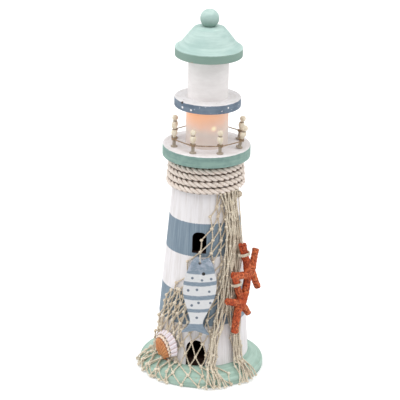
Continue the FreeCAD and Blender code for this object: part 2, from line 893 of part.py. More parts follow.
def fish_eye():
    """Round-headed pin pushed into the fish."""
    bottom = eye_place(fish_thickness - fish_eye_depth)
    shank = Part.makeCylinder(fish_eye_radius, fish_eye_depth, bottom)
    cap_radius = (fish_eye_radius ** 2 + fish_eye_proud ** 2) / (2 * fish_eye_proud)
    ball = Part.makeSphere(cap_radius, eye_place(fish_thickness + fish_eye_proud - cap_radius))
    cap = Part.makeCylinder(fish_eye_radius, fish_thickness, bottom).common(ball)
    return moved(shank.fuse(cap).removeSplitter(), fish_placement())


def fish_loop():
    """Loop of twine through the fish, tied to the net behind its mouth."""
    rear = -fish_loop_radius - seat_gap
    front = fish_thickness + fish_loop_radius + seat_gap
    top = fish_hole_from_lips + fish_loop_radius + fish_loop_bend
    points = [V(0, 0, rear), V(0, 0, front), V(0, top, front), V(0, top, rear)]
    return moved(cord(points, fish_loop_radius, fish_loop_bend, True), fish_hang())


# ---------------------------------------------------------------- coral
coral_standoff = seat_gap * 3 + net_thickness + bundle_thickness + coral_trunk_radius
coral_trunk = [(5.0, 122.5), (6.8, 112.0), (10.5, 102.0), (10.0, 91.0), (7.0, 80.0), (4.0, 70.5),
               (-3.0, 66.0), (-6.0, 56.0), (-6.8, 46.0)]
coral_branches = [
    [(10.4, 95.0), (15.5, 96.0), (18.0, 104.0), (21.0, 114.5)],
    [(15.5, 94.5), (22.0, 79.0)],
    [(10.0, 94.0), (-7.5, 97.5)],
    [(-5.0, 96.0), (-3.2, 86.5), (0.0, 78.0), (3.5, 71.0)],
    [(3.5, 71.0), (-15.5, 76.5)],
    [(1.0, 69.0), (9.8, 58.5)],
]
coral_bindings = [((6.5, 113.5), (1.8, -10.5), coral_trunk_radius),
                  ((-3.7, 89.0), (1.8, -9.5), coral_branch_radius)]


def coral_point(x, y, out=0.0):
    """Point of the coral, from its place across and up the slope of the tower."""
    return on_tower(coral_azimuth, 0, coral_standoff).multVec(V(x, y, out))


def limb(points, thick, thin):
    """Chain of tapering lengths with round joints."""
    count = len(points)
    radii = [thick + (thin - thick) * i / (count - 1) for i in range(count)]
    spots = [coral_point(x, y) for x, y in points]
    shape = Part.makeSphere(radii[0], spots[0])
    for i in range(count - 1):
        shape = shape.fuse(between(radii[i], radii[i + 1], spots[i], spots[i + 1]))
        shape = shape.fuse(Part.makeSphere(radii[i + 1], spots[i + 1]))
    return shape


def coral():
    """Branch of coral tied to the hank of net."""
    shape = limb(coral_trunk[:3], coral_branch_radius, coral_trunk_radius)
    shape = shape.fuse(limb(coral_trunk[2:], coral_trunk_radius, coral_branch_radius))
    for points in coral_branches:
        shape = shape.fuse(limb(points, coral_branch_radius, coral_tip_radius))
    return shape


def coral_ties(room=0.0):
    """Two bindings of twine round the coral's limbs, or the room that they take."""
    rings = []
    for (x, y), (dx, dy), stem_radius in coral_bindings:
        big = stem_radius + twine_radius + seat_gap
        axis = (coral_point(x + dx, y + dy) - coral_point(x - dx, y - dy)).normalize()
        for turn in range(coral_tie_turns):
            shift = (turn - 0.5 * (coral_tie_turns - 1)) * (2 * twine_radius + running_gap)
            spot = coral_point(x, y) + axis * shift
            rings.append(ring_round(spot, axis, big, twine_radius + room))
    return Part.makeCompound(rings)


def coral_cord():
    """Cord from the net's knot to the top of the coral, pulled tight by its weight."""
    low = coral_point(*coral_trunk[0])
    high = knot_centre()
    pull = (high - low).normalize()
    start = low + pull * (coral_branch_radius + running_gap)
    end = high - pull * (knot_radius + running_gap)
    return between(twine_radius, twine_radius, start, end)


# ---------------------------------------------------------------- scallop shell
shell_half_angle = math.radians(shell_spread)
shell_natural_half = shell_height * math.sin(shell_half_angle) * math.cos(shell_half_angle) ** shell_draw_in


def shell_rim(angle, bulge=0.0):
    """Point of the fan's rim at an angle from its middle rib. The rim draws in towards the ears."""
    radius = shell_height * math.cos(angle) ** shell_draw_in + bulge
    widen = shell_width / 2 / shell_natural_half
    return V(math.sin(angle) * radius * widen, math.cos(angle) * radius, 0)


def scallop_shell():
    """Half of a scallop: a ribbed fan with a domed back and two small ears at its hinge."""
    step = 2 * shell_half_angle / shell_ribs
    edges = []
    for i in range(shell_ribs):
        start = -shell_half_angle + i * step
        crown = shell_rim(start + step / 2, shell_rib_bulge)
        edges.append(Part.Arc(shell_rim(start), crown, shell_rim(start + step)).toShape())
    right_ear = [V(shell_ear_width, shell_ear_height, 0), V(shell_ear_width, 0, 0)]
    left_ear = [V(-p.x, p.y, 0) for p in reversed(right_ear)]
    path = [shell_rim(shell_half_angle)] + right_ear + left_ear + [shell_rim(-shell_half_angle)]
    for start, end in zip(path, path[1:]):
        edges.append(Part.LineSegment(start, end).toShape())
    prism = Part.Face(Part.Wire(edges)).extrude(V(0, 0, shell_depth * 2))
    chord = max(shell_width / 2, shell_height * (1 - shell_crown_share))
    dome_radius = (chord ** 2 + shell_depth ** 2) / (2 * shell_depth)
    centre = V(0, shell_height * shell_crown_share, shell_depth - dome_radius)
    dome = Part.makeSphere(dome_radius, centre).cut(Part.makeSphere(dome_radius - shell_wall, centre))
    return moved(prism.common(dome), shell_placement())


def shell_placement():
    """The shell stands on its hinge at the foot of the tower, its rim against the net."""
    turn = FreeCAD.Placement(V(0, 0, 0), FreeCAD.Rotation(UP, -shell_lean_sideways))
    lift = net_thickness + seat_gap * 2
    return on_tower(shell_azimuth, foot_top + lift + shell_above_hem, lift).multiply(turn)


# ---------------------------------------------------------------- light
led_low = deck_top + led_stalk_height


def led_bulb():
    """Round lamp with a flange at its foot and a domed top."""
    body = rod(led_flange_radius, led_low, led_low + led_flange_height)
    body = body.fuse(rod(led_radius, led_low, led_low + led_body_height))
    dome = Part.makeSphere(led_radius, V(0, 0, led_low + led_body_height))
    return body.fuse(dome).removeSplitter()


def led_legs():
    """Two thin legs of the lamp, inside the holder."""
    half = led_leg_spacing / 2
    low = led_low - led_leg_length
    return Part.makeCompound([rod(led_leg_radius, low, led_low, x, 0) for x in (-half, half)])


def led_holder():
    """Bush through the deck with a flange on it, which holds the lamp up in the lantern."""
    body = rod(holder_radius, tower_top - deck_spigot_height, led_low)
    body = body.fuse(rod(holder_flange_radius, deck_top, deck_top + holder_flange_height))
    return body.cut(rod(holder_bore_radius, tower_top - deck_spigot_height - past, led_low + past))


def wire_route(side, place, low):
    """Route of one wire from the lamp down the inside of the tower and through the foot."""
    x, y = place
    leg_x = side * led_leg_spacing / 2
    bends = [V(bend_x + side * wire_apart, bend_y * side, foot_top + tower_height * share)
             for bend_x, bend_y, share in wire_bends]
    top = V(leg_x, 0, led_low - led_leg_length)
    under_deck = V(leg_x, 0, tower_top - 2.2 * deck_spigot_height)
    return [top, under_deck] + bends + [V(x, y, foot_top + tower_height * wire_straight_share), V(x, y, low)]


def red_route():
    """Points of the red wire."""
    return wire_route(1, red_place, strip_low + strip_thickness)


def black_route():
    """Points of the black wire."""
    return wire_route(-1, black_place, switch_low() + switch_body_size[2])


def resistor_sleeve():
    """Sleeve over the resistor that is soldered into the red wire."""
    points = red_route()
    middle = (points[3] + points[4]) / 2
    half = (points[4] - points[3]).normalize() * (sleeve_length / 2)
    outer = between(sleeve_radius, sleeve_radius, middle - half, middle + half)
    bore = wire_radius + running_gap
    return outer.cut(between(bore, bore, middle - half, middle + half))


# ---------------------------------------------------------------- battery box
cover_low = box_lip_above_floor
cover_high = cover_low + cover_thickness
hinge_z = cover_low + cover_thickness / 2
cell_low = cover_high + strip_thickness


def switch_low():
    """Underside of the switch's body, on the floor of its bay."""
    return cover_low + box_wall


def battery_box():
    """Tray for two flat cells, open below, with a closed bay for the switch and an ear at each end."""
    ceiling = pocket_depth - box_wall
    body = block(box_x0, box_x1, -box_half_width, box_half_width, cover_low, pocket_depth)
    bay_half = cover_width / 2 + cover_gap
    body = body.cut(block(box_x0 + box_wall, partition_x, -bay_half, bay_half, cover_low - past, ceiling))
    body = body.cut(block(bay_x0, bay_x1, -bay_half, bay_half, switch_low(), ceiling))
    slot_y = switch_travel / 2 + switch_knob_size / 2 + cover_gap
    slot_x = switch_knob_size / 2 + cover_gap
    body = body.cut(block(switch_x - slot_x, switch_x + slot_x, -slot_y, slot_y, cover_low - past,
                          switch_low() + past))
    ear_half = ear_length / 2
    ears = block(box_x0 - ear_length, box_x1 + ear_length, -ear_half, ear_half, ceiling, pocket_depth)
    boss = rod(screw_boss_radius, cover_high + cover_gap, ceiling, cover_screw_x, 0)
    body = body.fuse(ears).fuse(boss)
    body = body.cut(rod(cover_screw_radius + screw_gap, cover_low, ceiling, cover_screw_x, 0))
    for y in (red_place[1], switch_strip_y):
        half = strip_width / 2 + cover_gap
        notch = block(partition_x - past, bay_x0 + past, y - half, y + half, strip_low - cover_gap, ceiling)
        body = body.cut(notch)
    for x, y in (red_place, black_place):
        body = body.cut(rod(wire_radius + cover_gap, ceiling - past, pocket_depth + past, x, y))
    for x in ear_screw_places():
        body = body.cut(rod(box_screw_radius + running_gap, ceiling - past, pocket_depth + past, x, 0))
    for side in (-1, 1):
        start = V(hinge_x, side * (cover_width / 2), hinge_z)
        peg_hole = Part.makeCylinder(hinge_peg_radius + running_gap, hinge_peg_reach + running_gap, start,
                                     V(0, side, 0))
        body = body.cut(peg_hole)
    return body.removeSplitter()


def battery_cover():
    """Cover with a rounded hinge end, a peg on each side and a countersunk screw hole."""
    half = cover_width / 2
    body = block(hinge_x, cover_end_x, -half, half, cover_low, cover_high)
    barrel = Part.makeCylinder(cover_thickness / 2, cover_width, V(hinge_x, -half, hinge_z), V(0, 1, 0))
    body = body.fuse(barrel)
    for side in (-1, 1):
        start = V(hinge_x, side * (half - hinge_peg_radius), hinge_z)
        peg = Part.makeCylinder(hinge_peg_radius, hinge_peg_reach + hinge_peg_radius, start, V(0, side, 0))
        body = body.fuse(peg)
    screw_hole = cover_screw_radius + running_gap
    body = body.cut(rod(screw_hole, cover_low - past, cover_high + past, cover_screw_x, 0))
    recess = rod(cover_screw_head_radius + running_gap, cover_low - past, cover_low + screw_head_height,
                 cover_screw_x, 0)
    return body.cut(recess).removeSplitter()


def slotted_screw(x, y, head_low, head_radius, shank_radius, tip):
    """Screw that is driven from below: flat head with a slot, then its shank."""
    head = rod(head_radius, head_low, head_low + screw_head_height, x, y)
    shank = rod(shank_radius, head_low, tip, x, y)
    half = screw_slot_width / 2
    slot = block(x - head_radius, x + head_radius, y - half, y + half, head_low - past,
                 head_low + screw_head_height / 2)
    return head.fuse(shank).cut(slot).removeSplitter()


def cover_screw():
    """Small screw that holds the battery cover shut."""
    tip = cover_high + cover_gap + cover_screw_bite
    return slotted_screw(cover_screw_x, 0, cover_low, cover_screw_head_radius, cover_screw_radius, tip)


def box_screws():
    """Two screws through the ears of the battery box into the foot."""
    head_low = pocket_depth - box_wall - screw_head_height
    return Part.makeCompound([
        slotted_screw(x, 0, head_low, box_screw_head_radius, box_screw_radius, box_screw_tip())
        for x in ear_screw_places()])


def button_cells():
    """Two flat cells side by side, each with a narrower lower can."""
    cells = []
    for x in cell_x:
        can = rod(cell_radius, cell_low + cell_step, cell_low + cell_thickness, x, 0)
        cells.append(can.fuse(rod(cell_radius - 2 * cell_step, cell_low, cell_low + cell_step, x, 0)))
    return Part.makeCompound([cell.removeSplitter() for cell in cells])


def contact_strips():
    """Two sprung strips over the cells: one runs to the red wire, the other to the switch."""
    high = strip_low + strip_thickness
    half = strip_width / 2
    pad = strip_pad / 2
    ends = (red_place, (switch_x, switch_strip_y))
    strips = []
    for x, (end_x, end_y) in zip(cell_x, ends):
        strip = block(x - pad, x + pad, -pad, pad, strip_low, high)
        arm_low = min(0, end_y - half)
        arm_high = max(0, end_y + half)
        strip = strip.fuse(block(x - half, x + half, arm_low, arm_high, strip_low, high))
        strip = strip.fuse(block(x - half, end_x + half, end_y - half, end_y + half, strip_low, high))
        strips.append(strip)
    tab_end = half - switch_body_size[1] / 2
    tab = block(switch_x - half, switch_x + half, switch_strip_y, tab_end, strip_low, high)
    strips[1] = strips[1].fuse(tab)
    return Part.makeCompound([strip.removeSplitter() for strip in strips])


def cover_link():
    """Strip on the inside of the cover that joins the two cells."""
    half = link_width / 2
    return block(cell_x[0] - half, cell_x[1] + half, -half, half, cover_high, cover_high + strip_thickness)


def switch_body():
    """Slide switch on the floor of its bay, slotted for the knob."""
    width, length, height = switch_body_size
    low = switch_low()
    body = block(switch_x - width / 2, switch_x + width / 2, -length / 2, length / 2, low, low + height)
    slot_x = switch_knob_size / 2 + running_gap
    slot_y = switch_travel / 2 + switch_knob_size / 2 + running_gap
    slot = block(switch_x - slot_x, switch_x + slot_x, -slot_y, slot_y, low - past, low + switch_slot_depth)
    return body.cut(slot)


def switch_knob():
    """Square knob of the switch, resting at the off end of its slot."""
    half = switch_knob_size / 2
    y = -switch_travel / 2
    low = cover_low + cover_gap
    high = switch_low() + switch_slot_depth - running_gap
    knob = block(switch_x - half, switch_x + half, y - half, y + half, low, high)
    groove = switch_groove / 2
    for offset in (-switch_knob_size / 4, 0.0, switch_knob_size / 4):
        knob = knob.cut(block(switch_x - half, switch_x + half, y + offset - groove, y + offset + groove,
                              low - past, low + switch_groove))
    return knob


# ---------------------------------------------------------------- write every piece
os.makedirs("parts", exist_ok=True)
save("foot_plate", foot())
save("tower_body", tower())
save("gallery_deck", deck())
save("railing_posts", railing_posts())
save("railing_cord", railing_cord())
save("railing_hitches", railing_hitches())
save("lantern_tube", lantern_tube())
save("lantern_ring", lantern_ring())
save("upper_drum", upper_drum())
save("head_dowels", head_dowels())
save("roof_cap", roof())
save("finial_dowel", rod(ball_dowel_radius, ball_dowel_low(), ball_dowel_high()))
save("finial_ball", finial_ball())
save("rope_wrap", rope_wrap())
save("net_drape", net_drape())
save("net_bundle", net_bundle())
save("net_hem", net_hem())
save("net_knot", net_knot())
save("fish_body", fish_body())
save("fish_eye", fish_eye())
save("fish_loop", fish_loop())
save("coral_branch", coral())
save("coral_ties", coral_ties())
save("coral_cord", coral_cord())
save("scallop_shell", scallop_shell())
save("led_bulb", led_bulb())
save("led_legs", led_legs())
save("led_holder", led_holder())
save("wire_red", cord(red_route(), wire_radius))
save("wire_black", cord(black_route(), wire_radius))
save("resistor_sleeve", resistor_sleeve())
save("battery_box", battery_box())
save("battery_cover", battery_cover())
save("cover_screw", cover_screw())
save("cover_link", cover_link())
save("box_screws", box_screws())
save("button_cells", button_cells())
save("contact_strips", contact_strips())
save("switch_body", switch_body())
save("switch_knob", switch_knob())
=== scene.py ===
import bpy
import math
import random
from mathutils import Matrix, Vector
from mathutils.geometry import interpolate_bezier


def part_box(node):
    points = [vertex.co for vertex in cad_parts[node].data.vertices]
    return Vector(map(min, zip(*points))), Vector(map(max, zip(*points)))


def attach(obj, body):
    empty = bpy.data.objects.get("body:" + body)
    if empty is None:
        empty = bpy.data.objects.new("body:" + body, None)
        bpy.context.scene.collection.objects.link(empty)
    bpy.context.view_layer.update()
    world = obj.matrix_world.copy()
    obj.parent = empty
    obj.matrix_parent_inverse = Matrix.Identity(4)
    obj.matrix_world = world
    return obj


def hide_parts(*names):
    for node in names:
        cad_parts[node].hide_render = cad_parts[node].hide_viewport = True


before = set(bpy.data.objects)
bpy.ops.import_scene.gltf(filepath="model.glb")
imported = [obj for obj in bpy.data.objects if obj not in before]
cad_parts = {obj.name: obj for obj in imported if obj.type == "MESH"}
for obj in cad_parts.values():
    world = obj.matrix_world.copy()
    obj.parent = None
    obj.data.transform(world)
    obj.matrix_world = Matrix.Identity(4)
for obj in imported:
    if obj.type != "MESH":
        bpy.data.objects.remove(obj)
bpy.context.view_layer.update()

MM = 0.001


# ---------------------------------------------------------------- studio
# The ornament stands on a plain white floor in a white surround. One broad soft lamp hangs over it and one
# stands at each side, so that its front centre is the least lit.
# The camera is where the photograph was taken from: a step back and well above the ornament, looking down.
camera_distance = 1.5
camera_height = 0.7171
camera_pitch = math.radians(20.641)
camera_yaw = math.radians(-0.169)
camera_roll = math.radians(1.377)
camera_lens = 169.17
camera_sensor = 36

level_right = Vector((math.cos(camera_yaw), -math.sin(camera_yaw), 0))
ahead = Vector((math.sin(camera_yaw) * math.cos(camera_pitch), math.cos(camera_yaw) * math.cos(camera_pitch),
                -math.sin(camera_pitch)))
level_up = level_right.cross(ahead)
right = level_right * math.cos(camera_roll) + level_up * math.sin(camera_roll)
up = level_up * math.cos(camera_roll) - level_right * math.sin(camera_roll)


def new_object(name, data):
    """A new object in the scene, of a camera's, a lamp's or a curve's data."""
    made = bpy.data.objects.new(name, data)
    bpy.context.scene.collection.objects.link(made)
    return made


camera_data = bpy.data.cameras.new("camera")
camera_data.lens = camera_lens
camera_data.sensor_width = camera_sensor
camera = new_object("camera", camera_data)
camera.matrix_world = Matrix((right, up, -ahead)).transposed().to_4x4()
camera.matrix_world.translation = (0, -camera_distance, camera_height)
bpy.context.scene.camera = camera
bpy.context.scene.view_settings.view_transform = "Standard"


def lamp(name, strength, spread, azimuth, elevation):
    """Broad distant lamp. Its angles are in degrees, and the azimuth goes from the front to the right."""
    data = bpy.data.lights.new(name, "SUN")
    data.energy = strength
    data.angle = math.radians(spread)
    new_object(name, data).rotation_euler = (math.radians(90 - elevation), 0, math.radians(azimuth))


lamp("top_lamp", strength=1.7, spread=70, azimuth=-20, elevation=78)
lamp("left_lamp", strength=0.85, spread=60, azimuth=-88, elevation=30)
lamp("right_lamp", strength=0.8, spread=60, azimuth=84, elevation=34)


class Wire:
    """One output of a shader's node, so that shader maths is written as an ordinary expression."""

    def __init__(self, shader, socket):
        self.shader = shader
        self.socket = socket

    def __add__(self, other):
        return self.shader.maths("ADD", self, other)

    def __radd__(self, other):
        return self + other

    def __sub__(self, other):
        return self.shader.maths("SUBTRACT", self, other)

    def __rsub__(self, other):
        return self.shader.maths("SUBTRACT", other, self)

    def __mul__(self, other):
        return self.shader.maths("MULTIPLY", self, other)

    def __rmul__(self, other):
        return self * other

    def __gt__(self, other):
        return self.shader.maths("GREATER_THAN", self, other)

    def __abs__(self):
        return self.shader.maths("ABSOLUTE", self)


class Shader:
    """A node tree and the few kinds of node that the finishes here are made of."""

    def __init__(self, name, tree=None):
        if tree is None:
            self.material = bpy.data.materials.new(name)
            self.material.use_nodes = True
            tree = self.material.node_tree
        self.tree = tree

    def node(self, kind, settings=None, sockets=None, out=0):
        """Adds a node of a kind, with its settings first and then its sockets' values or wires."""
        made = self.tree.nodes.new("ShaderNode" + kind)
        for key, value in (settings or {}).items():
            setattr(made, key, value)
        self.feed(made, sockets or {})
        return Wire(self, made.outputs[out])

    def feed(self, made, sockets):
        for key, value in sockets.items():
            if isinstance(value, Wire):
                self.tree.links.new(value.socket, made.inputs[key])
            else:
                made.inputs[key].default_value = value

    def maths(self, operation, *values):
        return self.node("Math", {"operation": operation}, dict(enumerate(values)))

    def surface(self, **sockets):
        """Sets the sockets of the material's own surface. An underscore in a name stands for a space."""
        named = {key.replace("_", " "): value for key, value in sockets.items()}
        self.feed(self.tree.nodes["Principled BSDF"], named)

    def place(self, kind="Object"):
        return self.node("TexCoord", out=("Generated", "Normal", "UV", "Object").index(kind))

    def axis(self, vector, index):
        return self.node("SeparateXYZ", None, {0: vector}, index)

    def vector(self, x, y, z=0.0):
        return self.node("CombineXYZ", None, {0: x, 1: y, 2: z})

    def noise(self, vector, scale, detail=3.0, roughness=0.6):
        """Cloudy pattern from 0 to 1. The scale is how many patches lie along one unit of the vector."""
        return self.node("TexNoise", None, {"Vector": vector, "Scale": scale, "Detail": detail,
                                            "Roughness": roughness})

    def ease(self, value, low, high):
        """0 below low, 1 above high and smooth between them, or the other way round."""
        return self.node("MapRange", {"interpolation_type": "SMOOTHSTEP"}, {0: value, 1: low, 2: high})

    def stripe(self, value, low, high, soft):
        """1 from low to high and 0 outside them, blurred a little to each side of both."""
        return self.ease(value, low - soft, low + soft) * (1.0 - self.ease(value, high - soft, high + soft))

    def larger(self, first, second):
        return self.maths("MAXIMUM", first, second)

    def distance(self, first, second):
        return self.node("VectorMath", {"operation": "DISTANCE"}, {0: first, 1: second}, 1)

    def mix(self, share, first, second):
        """Colour between two colours."""
        return self.node("Mix", {"data_type": "RGBA"}, {0: share, 6: first, 7: second}, 2)

    def bump(self, height, distance, strength=1.0):
        return self.node("Bump", None, {"Height": height, "Distance": distance, "Strength": strength})


def colour(red, green, blue):
    """A colour as the eye sees it, each part from 0 to 255, as a shader needs it."""
    return tuple(((part / 255 + 0.055) / 1.055) ** 2.4 for part in (red, green, blue)) + (1.0,)


surround_light = 0.42
world = bpy.data.worlds.new("surround")
bpy.context.scene.world = world
world.use_nodes = True
surround = Shader("surround", world.node_tree)
rays = ["Is Camera Ray", "Is Glossy Ray", "Is Transmission Ray"]
seen = [surround.node("LightPath", out=ray) for ray in rays]
direct = surround.larger(surround.larger(seen[0], seen[1]), seen[2])
surround.feed(world.node_tree.nodes["Background"],
              {"Color": (1, 1, 1, 1), "Strength": surround_light + direct * (1.0 - surround_light)})

floor_size = 14
floor_white = (0.82, 0.82, 0.82, 1)
floor_own_light = 0.30
bpy.ops.mesh.primitive_plane_add(size=floor_size)
floor = bpy.context.object
floor.name = "studio_floor"
floor_paint = Shader("studio_floor")
floor_seen = floor_paint.node("LightPath", out="Is Camera Ray")
floor_paint.surface(Base_Color=floor_white, Roughness=0.9, Specular_IOR_Level=0.0,
                    Emission_Color=(1, 1, 1, 1), Emission_Strength=floor_seen * floor_own_light)
floor.data.materials.append(floor_paint.material)


def dress(node, shader):
    """Gives a piece of the frame its finish."""
    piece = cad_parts[node]
    for place in piece.material_slots:
        place.material = shader.material
    if not piece.material_slots:
        piece.data.materials.append(shader.material)


# ---------------------------------------------------------------- foot
# The foot is a disc of softwood, turned with a fall towards its rim and painted pale green by brush.
# The paint is thin on the edges, where the brown wood shows through, and matt.
foot_green = colour(182, 208, 196)
foot_green_deep = colour(150, 180, 166)
# Dark brown painted shade for the tower's hollow, its cut faces and the part of the foot inside it.
hollow_shade_brown = colour(44, 24, 17)
tower_foot_radius = 40.5 * MM
bare_edge = colour(176, 150, 118)
foot_rim = 53.7 * MM
foot_rim_height = 8.2 * MM


def lathe_place(shader):
    """Radius, height and angle round the axis, as three wires."""
    place = shader.place()
    x, y, z = (shader.axis(place, index) for index in range(3))
    radius = shader.maths("SQRT", x * x + y * y)
    angle = shader.maths("ARCTAN2", x, y * -1.0)
    return radius, z, angle


def turned_paint(name, light, deep, streak=900.0, mottle=90.0, coat=None, roughness=0.55):
    """Brushed matt paint on turned wood: rings left by the brush as the piece turned, and cloudy patches."""
    shader = Shader(name)
    place = shader.place()
    radius, z, angle = lathe_place(shader)
    rings = shader.noise(shader.vector(radius * streak, z * streak, angle * 0.8), 1.0, 4.0, 0.65)
    clouds = shader.noise(place, mottle, 4.0, 0.55)
    shade = shader.mix(shader.ease(rings * 0.6 + clouds * 0.4, 0.36, 0.66), deep, light)
    if coat is not None:
        shade = coat(shader, radius, z, shade)
    relief = rings * 0.6 + shader.noise(place, 1400.0, 2.0) * 0.4
    shader.surface(Base_Color=shade, Roughness=shader.ease(clouds, 0.0, 1.0) * 0.18 + roughness,
                   Normal=shader.bump(relief, 0.12 * MM, 0.55), Specular_IOR_Level=0.35)
    return shader


def foot_coat(shader, radius, z, shade):
    """Worn paint in broken patches along the rim's edges, and painted shade, dark brown, on the part inside
    the tower.
    """
    patches = shader.ease(shader.noise(shader.place(), 260.0, 4.0, 0.7), 0.56, 0.66)
    near_top = 1.0 - shader.ease(abs(z - foot_rim_height), 0.0, 1.3 * MM)
    near_floor = 1.0 - shader.ease(z, 0.4 * MM, 1.8 * MM)
    worn = patches * shader.larger(near_top, near_floor)
    shade = shader.mix(worn * (radius > foot_rim * 0.9) * 0.8, shade, bare_edge)
    # Painted shade: the foot's top inside the tower is dark brown.
    inside = 1.0 - shader.ease(radius, tower_foot_radius - 1.2 * MM, tower_foot_radius - 0.6 * MM)
    return shader.mix(inside * (z > foot_rim_height), shade, hollow_shade_brown)


dress("foot_plate", turned_paint("foot_green_paint", foot_green, foot_green_deep, 300.0, 60.0, foot_coat))


# ---------------------------------------------------------------- tower
# The tower is a hollow turned cone of softwood, white with two blue-grey bands brushed up and down.
# A door and a window are cut through its wall, and the cut faces and the hollow are painted dark brown as
# painted shade.
foot_top = 14.9 * MM
tower_top = 193.6 * MM
tower_head_radius = 26.0 * MM
tower_taper = (tower_foot_radius - tower_head_radius) / (tower_top - foot_top)
bands = ((51.0 * MM, 79.8 * MM), (112.7 * MM, 141.8 * MM))
band_blur = 0.25 * MM
tower_white = colour(240, 237, 239)
tower_cream = colour(224, 219, 218)
band_blue = colour(112, 131, 147)
band_pale = colour(146, 162, 175)


def tower_radius(z):
    """Outer radius of the tower at a height, which may be a number or a wire."""
    return tower_foot_radius - tower_taper * (z - foot_top)


tower_paint = Shader("tower_paint")
place = tower_paint.place()
radius, z, angle = lathe_place(tower_paint)
brush = tower_paint.noise(tower_paint.vector(angle * 42.0, z * 26.0, radius * 10.0), 1.0, 5.0, 0.7)
coarse = tower_paint.noise(tower_paint.vector(angle * 9.0, z * 30.0, 0.3), 1.0, 3.0)
ragged = z + (tower_paint.noise(tower_paint.vector(angle * 26.0, z * 8.0), 1.0, 3.0) - 0.5) * (1.4 * MM)
band = sum(tower_paint.stripe(ragged, low, high, band_blur) for low, high in bands)
white = tower_paint.mix(tower_paint.ease(brush * 0.5 + coarse * 0.5, 0.34, 0.56), tower_cream, tower_white)
blue = tower_paint.mix(tower_paint.ease(brush * 0.7 + coarse * 0.3, 0.36, 0.68), band_blue, band_pale)
shade = tower_paint.mix(band, white, blue)
# Painted shade: the cut faces and the hollow are dark brown.
cut_face = 1.0 - tower_paint.ease(radius - tower_radius(z), -0.8 * MM, -0.45 * MM)
shade = tower_paint.mix(cut_face, shade, hollow_shade_brown)
relief = brush * 0.7 + tower_paint.noise(place, 1300.0, 2.0) * 0.3
tower_paint.surface(Base_Color=shade, Roughness=0.52 + brush * 0.2, Specular_IOR_Level=0.35,
                    Normal=tower_paint.bump(relief, 0.14 * MM, 0.5))
dress("tower_body", tower_paint)


# ---------------------------------------------------------------- gallery deck
# The gallery deck is a turned board: white on its flat top, sage green round its edge and below.
# The two paints meet in a slightly wandering line on the upper edge.
deck_top = 203.6 * MM
flake_radius = 28.0 * MM
deck_edge_green = colour(118, 148, 142)
deck_edge_pale = colour(144, 174, 164)
chip_brown = colour(60, 52, 48)


def around(azimuth, radius, z):
    """Point round the axis. The azimuth is in degrees from the front towards the right."""
    turn = math.radians(azimuth)
    return Vector((math.sin(turn) * radius, -math.cos(turn) * radius, z))


def two_tone(name, level, edge_light, edge_deep, chips, flakes=()):
    """Turned board, white on its top and another colour round its edge, with small chips along the corner.

    A larger flake is given by its angle in degrees, its height under the top, its radius and its colour.
    """
    shader = Shader(name)
    place = shader.place()
    radius, z, angle = lathe_place(shader)
    rings = shader.noise(shader.vector(radius * 420.0, z * 420.0, angle * 1.2), 1.0, 4.0, 0.6)
    clouds = shader.noise(place, 120.0, 4.0)
    tone = shader.ease(rings * 0.5 + clouds * 0.5, 0.36, 0.62)
    wander = (shader.noise(place, 180.0, 2.0) - 0.5) * (0.8 * MM)
    on_top = shader.ease(z + wander, level - 0.55 * MM, level - 0.25 * MM)
    edge = shader.mix(tone, edge_deep, edge_light)
    shade = shader.mix(on_top, edge, shader.mix(tone, tower_cream, tower_white))
    speck = shader.noise(place, 330.0, 4.0, 0.75)
    chipped = shader.ease(speck, chips, chips + 0.025) * shader.ease(z, level - 2.4 * MM, level - 0.6 * MM)
    shade = shader.mix(chipped, shade, chip_brown)
    bright = shader.ease(shader.noise(place, 410.0, 3.0, 0.7), chips, chips + 0.03) * (1.0 - on_top)
    shade = shader.mix(bright, shade, tower_white)
    for azimuth, drop, size, tint in flakes:
        away = shader.distance(place, around(azimuth, flake_radius, level - drop))
        shade = shader.mix(1.0 - shader.ease(away + wander, size * 0.7, size), shade, tint)
    shader.surface(Base_Color=shade, Roughness=0.5 + rings * 0.2, Specular_IOR_Level=0.35,
                   Normal=shader.bump(rings * 0.5 + speck * 0.5 - chipped * 0.5, 0.14 * MM, 0.5))
    return shader


dress("gallery_deck", two_tone("deck_paint", deck_top, deck_edge_pale, deck_edge_green, 0.74))


# ---------------------------------------------------------------- railing posts
# The posts are small turned pegs of pale beech, left unpainted and glued to the deck by their feet.
# A dark line is drawn round the neck under each round head, and the feet and stems are painted darker as
# painted shade.
post_ring = 29.4 * MM
post_count = 8
post_first = 22.5
post_foot_radius = 2.9 * MM
post_leans = {1: 15.0, 2: 10.0}
post_neck_height = 15.4 * MM
post_grain = (900, 900, 120)

peg_wood = Shader("pale_beech")
place = peg_wood.place()
drawn_out = peg_wood.node("VectorMath", {"operation": "MULTIPLY"}, {0: place, 1: post_grain})
grain = peg_wood.noise(drawn_out, 1.0, 4.0, 0.6)
wood = peg_wood.mix(peg_wood.ease(grain, 0.35, 0.68), colour(222, 206, 180), colour(244, 236, 218))
height = peg_wood.axis(place, 2) - deck_top
# Painted shade: the feet and stems are darker.
stem_shade_share = 1.0 - peg_wood.ease(height, 7.6 * MM, 9.6 * MM)
wood = peg_wood.mix(stem_shade_share * 0.7, wood, colour(124, 110, 98))
ring_line = 1.0 - peg_wood.ease(abs(height - post_neck_height), 0.25 * MM, 0.6 * MM)
wood = peg_wood.mix(ring_line * 0.75, wood, colour(82, 56, 38))
peg_wood.surface(Base_Color=wood, Roughness=0.5, Normal=peg_wood.bump(grain, 0.08 * MM, 0.5))
dress("railing_posts", peg_wood)


# ---------------------------------------------------------------- railing cord
# A thin brown cord runs from post to post all the way round, on their outer side, and takes two turns round
# each stem. It is laid up from two plies.
cord_radius = 0.6 * MM
cord_lay = 2.8 * MM
cord_on_post = 7.3 * MM
cord_sag = Vector((0, 0, -0.5 * MM))
post_stem = 1.4 * MM
hitch_rise = 3.2 * cord_radius
hitch_steps = 24
hitch_turns = 2
bow_steps = 12

# How much of a cord's radius one of its plies has, when it has two and when it has three.
ply_shares = {2: 0.5, 3: 0.464}


